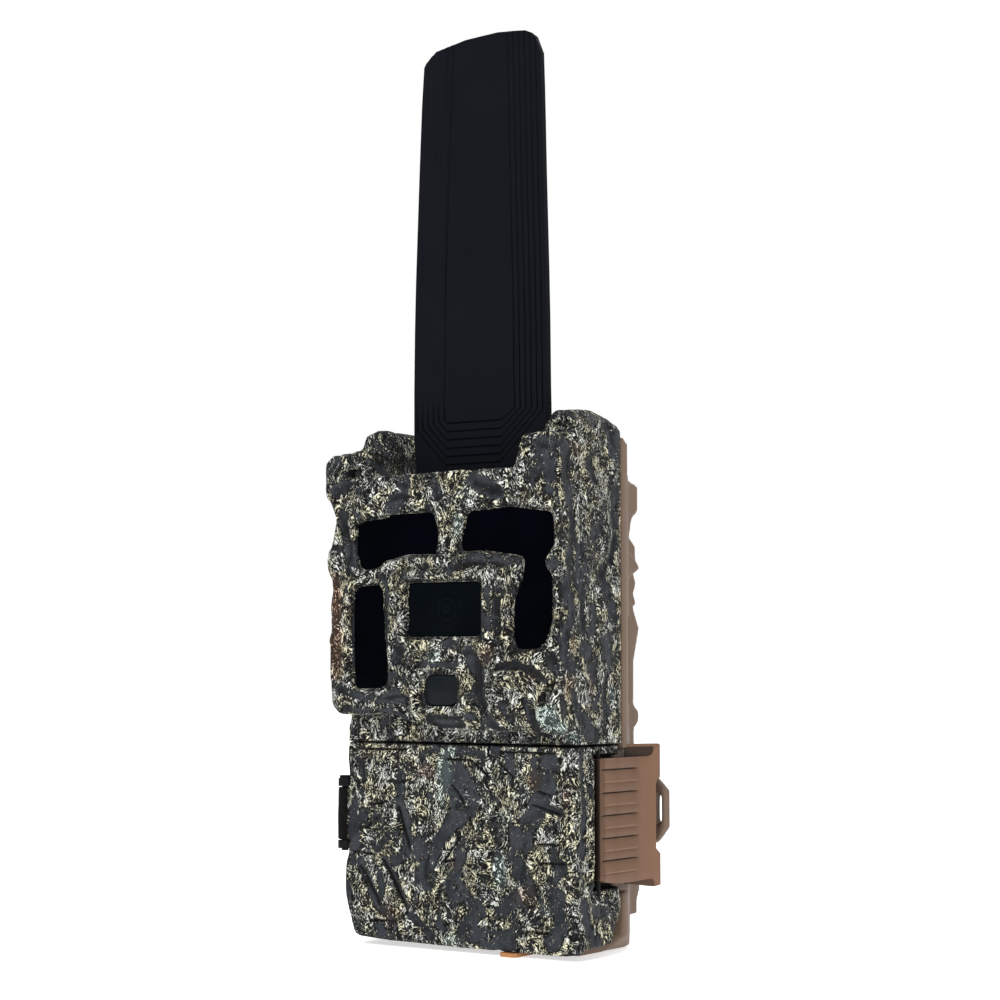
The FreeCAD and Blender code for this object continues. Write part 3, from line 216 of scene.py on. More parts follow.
def taubin(co, e, times, weight=None):
    """Smooths with little shrinking."""
    for _ in range(times):
        co = relax(co, e, 1, 0.55, weight)
        co = relax(co, e, 1, -0.50, weight)
    return co


def hollow(h, e, times=14):
    """Positive where the relief lies below its surroundings, negative on its crests (mm)."""
    n = len(h)
    deg = np.maximum(np.bincount(e[:, 0], minlength=n) + np.bincount(e[:, 1], minlength=n), 1)
    q = h.copy()
    for _ in range(times):
        q = (np.bincount(e[:, 0], q[e[:, 1]], n) + np.bincount(e[:, 1], q[e[:, 0]], n)) / deg
    return q - h


def paint(me, name, rgba):
    a = me.attributes.new(name, "FLOAT_COLOR", "POINT")
    a.data.foreach_set("color", rgba.astype(np.float32).ravel())


def finish_grid(o, co_mm, mat):
    set_coords(o.data, co_mm * MM)
    o.data.materials.append(mat)
    o.data.polygons.foreach_set("use_smooth", [True] * len(o.data.polygons))
    o.data.update()
    return o


# =============================================================== material helpers
def lin(r, g, b):
    f = lambda c: (c / 255.0) / 12.92 if c / 255.0 <= 0.04045 else (((c / 255.0) + 0.055) / 1.055) ** 2.4
    return (f(r), f(g), f(b), 1.0)


class Mat:
    """Small wrapper that builds a Principled material from nodes."""

    def __init__(self, name):
        self.m = bpy.data.materials.new(name)
        self.m.use_nodes = True
        self.t = self.m.node_tree
        self.p = self.t.nodes["Principled BSDF"]
        tc = self.t.nodes.new("ShaderNodeTexCoord")
        s = self.t.nodes.new("ShaderNodeVectorMath")
        s.operation = "SCALE"
        s.inputs["Scale"].default_value = 1000.0
        self.t.links.new(tc.outputs["Object"], s.inputs[0])
        self.co = s.outputs[0]          # object coordinates in millimetres

    def link(self, a, b):
        self.t.links.new(a, b)

    def node(self, kind, **kw):
        n = self.t.nodes.new(kind)
        for k, v in kw.items():
            setattr(n, k, v)
        return n

    def put(self, socket, value):
        if hasattr(value, "is_output") or isinstance(value, bpy.types.NodeSocket):
            self.link(value, socket)
        else:
            socket.default_value = value

    def math(self, op, a, b=0.0, c=None, clamp=False):
        n = self.node("ShaderNodeMath", operation=op, use_clamp=clamp)
        self.put(n.inputs[0], a)
        self.put(n.inputs[1], b)
        if c is not None:
            self.put(n.inputs[2], c)
        return n.outputs[0]

    def vec(self, op, a, b):
        n = self.node("ShaderNodeVectorMath", operation=op)
        self.put(n.inputs[0], a)
        self.put(n.inputs[1], b)
        return n.outputs[0]

    def length(self):
        n = self.node("ShaderNodeVectorMath", operation="LENGTH")
        self.link(self.co, n.inputs[0])
        return n.outputs["Value"]

    def stretch(self, sx, sy, sz, src=None):
        return self.vec("MULTIPLY", src or self.co, (sx, sy, sz))

    def noise(self, scale, detail=2.0, rough=0.5, co=None, dist=0.0, colour=False):
        n = self.node("ShaderNodeTexNoise")
        n.inputs["Scale"].default_value = scale
        n.inputs["Detail"].default_value = detail
        n.inputs["Roughness"].default_value = rough
        n.inputs["Distortion"].default_value = dist
        self.link(co or self.co, n.inputs["Vector"])
        return n.outputs["Color"] if colour else n.outputs["Fac"]

    def voronoi(self, scale, feature="F1", co=None, out="Distance"):
        n = self.node("ShaderNodeTexVoronoi", feature=feature)
        n.inputs["Scale"].default_value = scale
        self.link(co or self.co, n.inputs["Vector"])
        return n.outputs[out]

    def remap(self, v, a, b, c=0.0, d=1.0, smooth=True):
        n = self.node("ShaderNodeMapRange")
        n.interpolation_type = "SMOOTHSTEP" if smooth else "LINEAR"
        self.put(n.inputs["Value"], v)
        n.inputs["From Min"].default_value = a
        n.inputs["From Max"].default_value = b
        n.inputs["To Min"].default_value = c
        n.inputs["To Max"].default_value = d
        return n.outputs[0]

    def mix(self, f, a, b, mode="MIX"):
        n = self.node("ShaderNodeMix", data_type="RGBA", blend_type=mode)
        self.put(n.inputs["Factor"], f)
        self.put(n.inputs["A"], a)
        self.put(n.inputs["B"], b)
        return n.outputs["Result"]

    def ramp(self, v, stops):
        n = self.node("ShaderNodeValToRGB")
        r = n.color_ramp
        while len(r.elements) > 1:
            r.elements.remove(r.elements[-1])
        for i, (pos, col) in enumerate(stops):
            e = r.elements[0] if i == 0 else r.elements.new(pos)
            e.position = pos
            e.color = col
        self.link(v, n.inputs["Fac"])
        return n.outputs["Color"]

    def bump(self, height, distance_mm, strength=1.0, before=None):
        n = self.node("ShaderNodeBump")
        n.inputs["Strength"].default_value = strength
        n.inputs["Distance"].default_value = distance_mm * MM
        self.link(height, n.inputs["Height"])
        if before:
            self.link(before, n.inputs["Normal"])
        self.link(n.outputs["Normal"], self.p.inputs["Normal"])
        return n.outputs["Normal"]

    def set(self, **kw):
        for k, v in kw.items():
            self.put(self.p.inputs[k.replace("_", " ")], v)
        return self


def moulded(name, colour, rough=0.45, grain=1.6, bump=0.03, vary=0.12, spec=0.5, wear=None, painted_light=False):
    """Moulded plastic: fine spark-eroded grain, faint flow marks and handling wear; optionally painted shade and
    painted highlight from a mesh attribute.
    """
    m = Mat(name)
    big = m.noise(0.035, 3, 0.55)
    fine = m.noise(grain, 3, 0.6)
    pits = m.voronoi(grain * 1.3)
    dark = tuple(c * (1 - vary) for c in colour[:3]) + (1,)
    light = tuple(min(1, c * (1 + vary)) for c in colour[:3]) + (1,)
    col = m.mix(m.remap(big, 0.35, 0.65), dark, light)
    col = m.mix(m.remap(fine, 0.45, 0.75, 0.0, 0.25), col, tuple(c * 0.72 for c in colour[:3]) + (1,))
    if wear:
        scuff = m.noise(0.35, 5, 0.7, m.stretch(1.0, 1.0, 0.35))
        col = m.mix(m.remap(scuff, 0.62, 0.74, 0.0, 0.30), col, wear)
    if painted_light:
        # painted light from a mesh attribute: its green channel lightens the colour as a painted highlight, its red
        # channel darkens it as painted shade
        at = m.node("ShaderNodeAttribute", attribute_name="painted_light")
        sp = m.node("ShaderNodeSeparateColor")
        m.link(at.outputs["Color"], sp.inputs["Color"])
        col = m.mix(sp.outputs[1], col, tuple(min(1, c * 1.9) for c in colour[:3]) + (1,))
        col = m.mix(sp.outputs[0], col, tuple(c * 0.10 for c in colour[:3]) + (1,))
    m.set(Base_Color=col)
    m.set(Roughness=m.remap(m.math("ADD", m.math("MULTIPLY", big, 0.5), m.math("MULTIPLY", fine, 0.5)), 0.3, 0.7,
                            max(0.05, rough - 0.08), rough + 0.10))
    m.p.inputs["Specular IOR Level"].default_value = spec
    h = m.math("ADD", m.math("MULTIPLY", fine, 0.6), m.math("MULTIPLY", pits, 0.4))
    m.bump(h, bump)
    return m.m


def metal(name, colour, rough=0.28, brushed=(1, 1, 1), bump=0.006):
    m = Mat(name)
    lines = m.noise(1.5, 4, 0.6, m.stretch(*brushed))
    big = m.noise(0.12, 3, 0.5)
    dark = tuple(c * 0.78 for c in colour[:3]) + (1,)
    m.set(Base_Color=m.mix(m.remap(big, 0.35, 0.65), dark, colour))
    m.set(Roughness=m.remap(lines, 0.3, 0.7, rough - 0.08, rough + 0.14))
    m.p.inputs["Metallic"].default_value = 1.0
    m.bump(lines, bump)
    return m.m


def rubbery(name, colour, rough=0.62):
    m = Mat(name)
    dust = m.noise(0.25, 4, 0.65)
    fine = m.noise(3.0, 2, 0.6)
    m.set(Base_Color=m.mix(m.remap(dust, 0.5, 0.78, 0.0, 0.5), colour, tuple(min(1, c * 1.8 + 0.01) for c in colour[:3]) + (1,)))
    m.set(Roughness=m.remap(fine, 0.3, 0.7, rough - 0.06, rough + 0.12))
    m.bump(fine, 0.02)
    return m.m


def pane(name, colour, deep, rough=0.06, rings=None):
    """Polished dark pane: nearly black, with faint haze and dust; optional light rings painted into the colour as
    reflections of the lens rims behind it.
    """
    m = Mat(name)
    big = m.noise(0.05, 2, 0.5)
    dust = m.voronoi(0.9)
    col = m.mix(m.remap(big, 0.3, 0.7), deep, colour)
    col = m.mix(m.remap(dust, 0.0, 0.05, 0.35, 0.0), col, tuple(min(1, c * 4 + 0.01) for c in colour[:3]) + (1,))
    # painted reflection: light rings around a centre
    if rings:
        cx, cz, radii, ring_reflection_colour = rings
        sep = m.node("ShaderNodeSeparateXYZ")
        m.link(m.co, sep.inputs[0])
        dx = m.math("SUBTRACT", sep.outputs[0], cx)
        dz = m.math("SUBTRACT", sep.outputs[2], cz)
        r = m.math("SQRT", m.math("ADD", m.math("MULTIPLY", dx, dx), m.math("MULTIPLY", dz, dz)))
        for r0, w, k in radii:
            d = m.math("ABSOLUTE", m.math("SUBTRACT", r, r0))
            col = m.mix(m.remap(d, 0.0, w, k, 0.0), col, ring_reflection_colour)
    m.set(Base_Color=col)
    m.set(Roughness=m.remap(m.noise(0.4, 3, 0.6), 0.35, 0.75, rough, rough + 0.07))
    m.p.inputs["Specular IOR Level"].default_value = 0.05
    m.bump(m.noise(0.12, 1, 0.5), 0.02, 0.4)
    return m.m


def board(name, colour):
    m = Mat(name)
    tracks = m.voronoi(0.55, "DISTANCE_TO_EDGE")
    fine = m.noise(1.2, 2, 0.5)
    col = m.mix(m.remap(tracks, 0.03, 0.09, 0.55, 0.0), colour, tuple(min(1, c * 2.2 + 0.01) for c in colour[:3]) + (1,))
    pads = m.voronoi(0.42)
    col = m.mix(m.remap(pads, 0.10, 0.14, 0.8, 0.0), col, lin(176, 150, 84))
    m.set(Base_Color=col)
    m.set(Roughness=m.remap(fine, 0.3, 0.7, 0.28, 0.42))
    m.bump(tracks, 0.03, 0.5)
    return m.m


def glassy(name, colour, tint):
    m = Mat(name)
    n = m.noise(0.3, 2, 0.5)
    m.set(Base_Color=m.mix(m.remap(n, 0.3, 0.7), colour, tint))
    m.set(Roughness=m.remap(m.noise(1.2, 2, 0.5), 0.3, 0.7, 0.03, 0.08))
    m.p.inputs["Transmission Weight"].default_value = 0.6
    m.p.inputs["IOR"].default_value = 1.5
    return m.m


def bark_camo(name):
    """Printed bark pattern: fine bright fibres over dark ground, thinning out into smooth slate. The mesh attribute
    also carries painted light: its alpha paints shade near-black into hollows, recesses and gaps and also blackens a
    few parts, and its fibre density is raised on the relief's crests as a painted highlight.
    """
    m = Mat(name)
    att = m.node("ShaderNodeAttribute", attribute_name="camo_print_and_painted_light")
    sep = m.node("ShaderNodeSeparateColor")
    m.link(att.outputs["Color"], sep.inputs["Color"])
    tex, mint, warm = sep.outputs[0], sep.outputs[1], sep.outputs[2]
    # alpha channel: painted shade in hollows, recesses and gaps, and a few parts painted near-black
    painted_shade_and_black = att.outputs["Alpha"]
    # fibres follow a bent grid, so that they swirl as in bark
    bend = m.vec("MULTIPLY", m.vec("SUBTRACT", m.noise(0.10, 2.5, 0.5, colour=True), (0.5, 0.5, 0.5)), (16.0, 16.0, 12.0))
    P = m.vec("ADD", m.co, bend)
    d1 = m.noise(1.0, 2.0, 0.58, m.stretch(2.4, 2.4, 0.90, P))
    d2 = m.noise(1.0, 2.0, 0.55, m.stretch(1.05, 1.05, 0.46, P))
    d3 = m.noise(3.4, 1.0, 0.60)
    s = m.math("ADD", m.math("MULTIPLY", m.remap(d1, 0.30, 0.70, smooth=False), 0.70),
               m.math("MULTIPLY", m.remap(d2, 0.30, 0.70, smooth=False), 0.30))
    s = m.math("ADD", s, m.math("MULTIPLY", m.math("SUBTRACT", d3, 0.5), 0.35))
    # how dense the fibres stand
    clus = m.noise(0.33, 4, 0.62, m.stretch(1.0, 1.0, 0.75))
    wide = m.noise(0.12, 2, 0.5)
    D = m.math("ADD", m.math("MULTIPLY", tex, 0.68), m.math("MULTIPLY", m.math("SUBTRACT", clus, 0.5), 2.7))
    D = m.math("ADD", D, m.math("MULTIPLY", m.math("SUBTRACT", wide, 0.5), 0.8), clamp=True)
    thr = m.math("MULTIPLY_ADD", D, -0.39, 0.86)
    over = m.math("SUBTRACT", s, thr)
    lit = m.remap(over, -0.04, 0.10)
    hot = m.remap(over, 0.03, 0.22, 0.0, 1.0)
    gap = m.math("MULTIPLY", m.remap(over, -0.07, -0.22), m.remap(D, 0.15, 0.55))
    sl = m.noise(0.18, 3, 0.6)
    slate = m.mix(m.remap(sl, 0.38, 0.62), lin(36, 39, 43), lin(52, 55, 60))
    slate = m.mix(m.remap(m.noise(1.3, 3, 0.7), 0.50, 0.72, 0.0, 0.5), slate, lin(31, 33, 36))
    ground = m.mix(m.remap(D, 0.2, 0.8, 0.0, 0.85), slate, lin(38, 38, 34))
    ground = m.mix(gap, ground, lin(4, 4, 4))
    hue = m.noise(0.16, 3, 0.6)
    dull = m.mix(m.remap(hue, 0.40, 0.60), lin(126, 128, 122), lin(132, 129, 106))
    fair = m.mix(m.remap(hue, 0.42, 0.60), lin(230, 232, 225), lin(230, 225, 194))
    fibre = m.mix(hot, dull, fair)
    fibre = m.mix(mint, fibre, m.mix(hot, lin(156, 178, 168), lin(243, 254, 248)))
    fibre = m.mix(warm, fibre, m.mix(hot, lin(122, 88, 64), lin(212, 186, 164)))
    ground = m.mix(m.math("MULTIPLY", warm, 0.6), ground, lin(64, 46, 36))
    ground = m.mix(m.math("MULTIPLY", mint, 0.28), ground, lin(92, 104, 102))
    col = m.mix(lit, ground, fibre)
    # painted shade: the alpha channel darkens the colour towards near-black
    col = m.mix(painted_shade_and_black, col, lin(7, 7, 7))
    m.set(Base_Color=col)
    m.set(Roughness=m.remap(D, 0.0, 0.8, 0.40, 0.68))
    m.p.inputs["Specular IOR Level"].default_value = 0.10
    h = m.math("ADD", m.math("MULTIPLY", s, m.remap(D, 0.0, 0.5, 0.12, 1.0)), m.math("MULTIPLY", d3, 0.12))
    m.bump(h, 0.34, 0.9)
    return m.m


CAMO = bark_camo("bark_camo_print_painted_light")
BROWN = moulded("brown_moulded_shell", lin(112, 93, 78), 0.52, 1.5, 0.030, 0.06, 0.25, lin(126, 108, 93))
BROWN2 = moulded("brown_moulded_latch_painted_light", lin(112, 84, 66), 0.48, 1.5, 0.022, 0.06, 0.22, lin(126, 98, 80), painted_light=True)
OXIDE = metal("blackened_steel", (0.012, 0.012, 0.013, 1), 0.42, (1, 1, 6))
TAN = moulded("tan_moulded_catch", lin(168, 116, 70), 0.45, 1.5, 0.025, 0.06, 0.4)
BLACK = moulded("black_satin_blade_painted_shade", lin(16, 18, 23), 0.55, 2.2, 0.010, 0.06, 0.02, painted_light=True)
INK = moulded("black_moulded_hinge", lin(14, 14, 16), 0.5, 1.6, 0.03, 0.10, 0.10)
DARK = moulded("dark_moulded_part", lin(30, 30, 32), 0.5, 1.6, 0.03, 0.10)
GREY = moulded("panel_moulded_grey", lin(58, 59, 62), 0.52, 1.4, 0.04, 0.08)
KEYS = rubbery("key_silicone", lin(150, 151, 153), 0.5)
RUB = rubbery("seal_rubber", lin(24, 24, 25))
STEEL = metal("plated_steel", (0.56, 0.56, 0.57, 1), 0.26, (1, 1, 6))
SPRING = metal("contact_steel", (0.62, 0.61, 0.58, 1), 0.22, (4, 4, 1))
BRASS = metal("turned_brass", (0.72, 0.54, 0.25, 1), 0.25, (1, 6, 1))
IRW = pane("ir_filter_gloss", lin(1, 2, 7), lin(0, 1, 3), 0.05)
LENSW = pane("lens_pane_gloss_painted_reflection", lin(6, 10, 14), lin(3, 6, 9), 0.10,
             rings=(0.6, 102.0, [(1.0, 0.5, 0.10), (3.2, 0.35, 0.07), (5.4, 0.3, 0.05)], lin(40, 49, 53)))
PIRM = moulded("fresnel_frosted", lin(18, 23, 26), 0.34, 2.0, 0.010, 0.06, 0.10)
BOARD = board("solder_mask", lin(12, 66, 38))
CHIP = moulded("chip_package", lin(26, 26, 28), 0.42, 2.4, 0.015, 0.08)
DISP = pane("display_gloss", lin(22, 28, 30), lin(12, 16, 18), 0.08)
CELL = moulded("cell_sleeve", lin(52, 58, 66), 0.26, 1.0, 0.006, 0.10, 0.6)
GLASS = glassy("optic_glass", (0.82, 0.90, 0.94, 1), (0.70, 0.80, 0.9, 1))
LED = glassy("led_lens", (0.86, 0.86, 0.90, 1), (0.7, 0.7, 0.8, 1))

SLOT_MATS = {"camo_shell": CAMO, "brown_shell": BROWN, "black_satin": BLACK, "dark_plastic": DARK, "ir_filter": IRW,
             "lens_pane": LENSW, "fresnel": PIRM, "rubber": RUB, "steel": STEEL, "brass": BRASS, "board": BOARD,
             "chip": CHIP, "glass": GLASS, "panel_grey": GREY, "button_grey": KEYS, "display": DISP,
             "cell_jacket": CELL, "led_clear": LED}
for sp in frame["record"]["subparts"]:
    ob = N[sp["node"]]
    mt = SLOT_MATS[sp["material_slot"]]
    if not ob.data.materials:
        ob.data.materials.append(mt)
    for i in range(len(ob.data.materials)):
        ob.data.materials[i] = mt
N["battery_contacts"].data.materials[0] = SPRING
N["tray_catch"].data.materials[0] = TAN
N["hinge_bracket"].data.materials[0] = INK
N["latch_pin"].data.materials[0] = OXIDE
N["hinge_pin"].data.materials[0] = OXIDE
N["case_screws"].data.materials[0] = OXIDE

# =============================================================== bark relief
# Outlines of the windows in the bezel's plane, (x, z) in mm.
WIN_TOP_LEFT = [(-33.0, 128.0), (-30.5, 129.5), (-21.5, 130.0), (-20.0, 131.0), (-5.2, 131.3), (-3.4, 130.2),
                (-2.2, 126.0), (-2.5, 118.6), (-13.0, 118.8), (-22.0, 117.0), (-24.0, 115.2), (-30.0, 114.3),
                (-31.6, 115.6), (-33.0, 119.5)]
WIN_SIDE = [(-34.0, 107.6), (-32.2, 109.3), (-24.2, 109.8), (-22.7, 108.0), (-22.0, 98.0), (-21.5, 92.0),
            (-20.7, 86.0), (-21.0, 80.2), (-23.0, 78.5), (-32.8, 78.3), (-33.6, 80.0), (-34.2, 96.0)]
WIN_RIGHT = [(8.2, 130.2), (9.6, 131.0), (17.0, 131.4), (23.0, 131.8), (33.0, 130.5), (37.6, 130.0), (39.0, 128.4),
             (39.1, 120.0), (36.6, 116.6), (36.3, 114.0), (38.8, 111.0), (38.8, 99.0), (36.6, 92.4), (33.8, 90.1),
             (26.2, 90.0), (24.8, 94.0), (25.0, 104.0), (28.0, 111.0), (28.8, 116.0), (27.0, 117.5), (17.0, 118.9),
             (12.0, 119.3), (6.6, 119.0), (6.1, 122.0), (7.6, 127.0)]
LENS_WIN = [(-13.4, 93.9), (13.4, 93.9), (13.4, 110.1), (-13.4, 110.1)]
PIR_WIN = [(-7.4, 74.2), (-5.6, 73.2), (3.6, 73.2), (5.4, 75.0), (5.4, 80.8), (3.6, 82.6), (-5.6, 82.6), (-7.4, 80.8)]

# Smooth slate channels: (points, half width).  Front of the upper shell, (x, z).
SLATE_FRONT = [
    ([(-37.5, 131), (-36.5, 125), (-34.5, 119), (-34.5, 114)], 2.0), ([(-40.5, 139), (-37, 140)], 2.2),
    ([(-15, 142), (-15.5, 137), (-18.5, 133)], 3.0), ([(-3, 140), (-1.6, 135.5)], 1.3),
    ([(11, 140), (16, 138), (20, 135.5)], 2.6), ([(-21.5, 118), (-14, 119.6), (-6, 118.6)], 0.9),
    ([(-22, 112), (-20.6, 108), (-20.4, 100), (-20.6, 92)], 1.0), ([(2, 113), (6, 116), (12, 117.2), (22, 116), (28, 116)], 1.5),
    ([(16.4, 108), (16.8, 96)], 0.8), ([(19.6, 104), (19.6, 96)], 1.4),
    ([(2, 92), (7, 91), (10.6, 88), (12.6, 84), (12.8, 78), (14.4, 73), (17, 68.5)], 2.0),
    ([(-15, 90.5), (-17.6, 87)], 1.6), ([(20, 84.5), (27, 85.6), (33, 83.4), (37, 80)], 1.1),
    ([(31, 73), (31, 66)], 1.6), ([(-38, 78), (-29, 75.6), (-21, 74.8), (-14, 75.4)], 1.3),
    ([(-36, 72), (-22, 71.4), (-13, 69)], 1.2), ([(-5, 68.6), (4, 68.4)], 2.5), ([(38.6, 87), (41, 84)], 2.4),
    ([(27, 101), (29, 106)], 0.1), ([(-9, 85.6), (5, 85.6)], 0.8), ([(37, 144), (37, 149)], 4.2), ([(33, 142), (40, 139.5)], 1.4),
    ([(-26, 149), (-22, 143)], 2.0), ([(-30, 122), (-38, 104)], 0.1), ([(38.6, 114.4)], 2.2), ([(22, 73), (24, 70)], 1.6),
    ([(-44, 122), (-38, 121)], 0.8), ([(-8, 112.4), (-5.4, 115)], 0.8), ([(8, 71), (20, 66)], 0.9),
]
# Sides of the upper shell, (y, z).
SLATE_SIDE = [
    ([(-36, 152), (-35, 142), (-34, 134)], 3.0), ([(-33, 132), (-32, 124), (-34, 116), (-32, 108), (-33, 100), (-37, 92)], 1.7),
    ([(-37, 90), (-35, 87), (-32, 85)], 3.0), ([(-8, 138), (-8, 128)], 2.2), ([(-17, 126), (-20, 124)], 2.2), ([(-8, 124), (-11, 116)], 1.4),
    ([(-16, 112), (-12, 106), (-9, 100)], 2.6), ([(-26, 108), (-27, 96)], 1.5), ([(-26, 90), (-22, 88), (-21, 84)], 2.8),
    ([(-13, 82), (-15, 76), (-14, 70)], 1.2), ([(-28, 72), (-24, 66), (-20, 65)], 2.4), ([(-40, 76), (-36, 72)], 2.0),
    ([(-24, 145), (-20, 140)], 1.3), ([(-13, 156), (-9, 152)], 1.5), ([(-32, 78), (-29, 70)], 1.0), ([(-27, 120), (-25, 116)], 1.4),
]
# Front of the door, (x, z).
SLATE_DOOR = [
    ([(-22, 52), (-22.4, 44), (-19.4, 36), (-19.6, 28), (-24, 26)], 1.9), ([(-1, 54), (2, 50), (5, 45)], 2.6),
    ([(4, 42), (-2, 38.6), (-6, 35), (-9, 30), (-12, 24), (-11, 20)], 2.4), ([(0, 60), (8, 58.6)], 1.5),
    ([(18, 58), (18.4, 54)], 2.2), ([(33, 57), (30, 48), (28, 43), (24, 38), (22.6, 33)], 3.4),
    ([(33, 31), (36, 26)], 2.2), ([(20.6, 36), (20, 29), (22, 24), (26, 20)], 2.4), ([(15, 13), (20, 17)], 2.6),
    ([(0, 18), (6, 12), (1, 6), (10, 5), (17, 4)], 3.2), ([(34, 18), (36, 10), (33, 5)], 3.2), ([(-37.5, 25), (-33, 16), (-28.6, 10.4)], 1.7),
    ([(-28, 26), (-20, 13)], 1.4), ([(-14, 58), (-9, 60)], 1.2), ([(-39, 36), (-36, 40)], 1.6), ([(-36, 50), (-38, 56)], 1.0),
    ([(-4, 20), (-2, 14)], 1.6), ([(-27, 33), (-31, 29)], 1.0), ([(26, 44), (36, 43)], 1.4), ([(-18, 10), (-10, 4)], 1.1),
]
SLATE_DOOR_SIDE = [([(-28, 58), (-26, 44), (-27, 30)], 1.2), ([(-20, 14), (-12, 12), (-9, 8)], 2.0), ([(-26, 16), (-24, 8)], 2.0)]
CRACKS = [[(-39.0, 59.6), (-20.0, 59.8)], [(-5.0, 57.2), (4.0, 57.0), (10.2, 52.6)], [(14.6, 59.8), (35.0, 59.6)],
          [(14.8, 56.2), (19.4, 52.2)], [(27.8, 48.4), (32.0, 47.4)], [(26.0, 44.4), (35.6, 42.0)], [(27.6, 33.0), (35.6, 33.2)],
          [(29.0, 27.6), (39.4, 27.8)], [(-23.4, 49.8), (-18.4, 50.6)], [(-23.4, 42.0), (-19.0, 29.6)],
          [(-35.0, 42.4), (-27.4, 43.6)], [(-40.0, 28.0), (-31.4, 27.4)], [(-37.6, 23.6), (-30.2, 12.0)],
          [(-28.8, 26.0), (-19.6, 10.6)], [(-33.8, 7.4), (-24.0, 7.6)], [(-6.6, 26.4), (-2.0, 27.2)], [(2.6, 40.2), (5.0, 36.6)],
          [(0.0, 34.2), (-6.0, 26.4)], [(-3.0, 49.4), (0.8, 44.6)], [(24.6, 7.6), (31.4, 7.4)]]


def slate_field(U, W, strokes):
    """0 in the smooth channels, 1 well away from them."""
    f = np.ones(U.shape)
    for pts, hw in strokes:
        d, _ = path_distance(U, W, pts)
        f = np.minimum(f, step(hw * 0.50, hw * 1.12 + 0.35, d))
    return f


def spots(U, W, items):
    out = np.zeros(U.shape)
    for x, z, rx, rz, k in items:
        out = np.maximum(out, k * step(1.25, 0.55, np.hypot((U - x) / rx, (W - z) / rz)))
    return out


def bark_noise(P):
    """Bark plates, longer than wide: raised lumps with narrow valleys between them (mm)."""
    Q = P * np.array([1.0, 1.0, 0.45])
    ridge = 1.0 - np.abs(perlin(Q, 0.16, 5)) * 2.0
    lumps = fbm(P * np.array([1.0, 1.0, 0.7]), 0.14, 21, 3)
    small = fbm(P * np.array([1.0, 1.0, 0.75]), 0.42, 77, 2)
    return 0.34 * lumps + 0.16 * small - 0.22 * np.clip(ridge, 0, 1) ** 3


def ridge(U, W, pts, width, height, fade=True):
    d, t = path_distance(U, W, pts)
    k = np.exp(-(d / width) ** 2) * height
    if fade:
        k = k * step(-0.02, 0.18, t) * step(1.02, 0.82, t)
    return k


def rings(U, W, x, z, r, pitch, height, squash=1.0):
    d = np.hypot(U - x, (W - z) * squash)
    return height * np.cos(d / pitch * 2 * math.pi) * step(r * 1.05, r * 0.75, d)


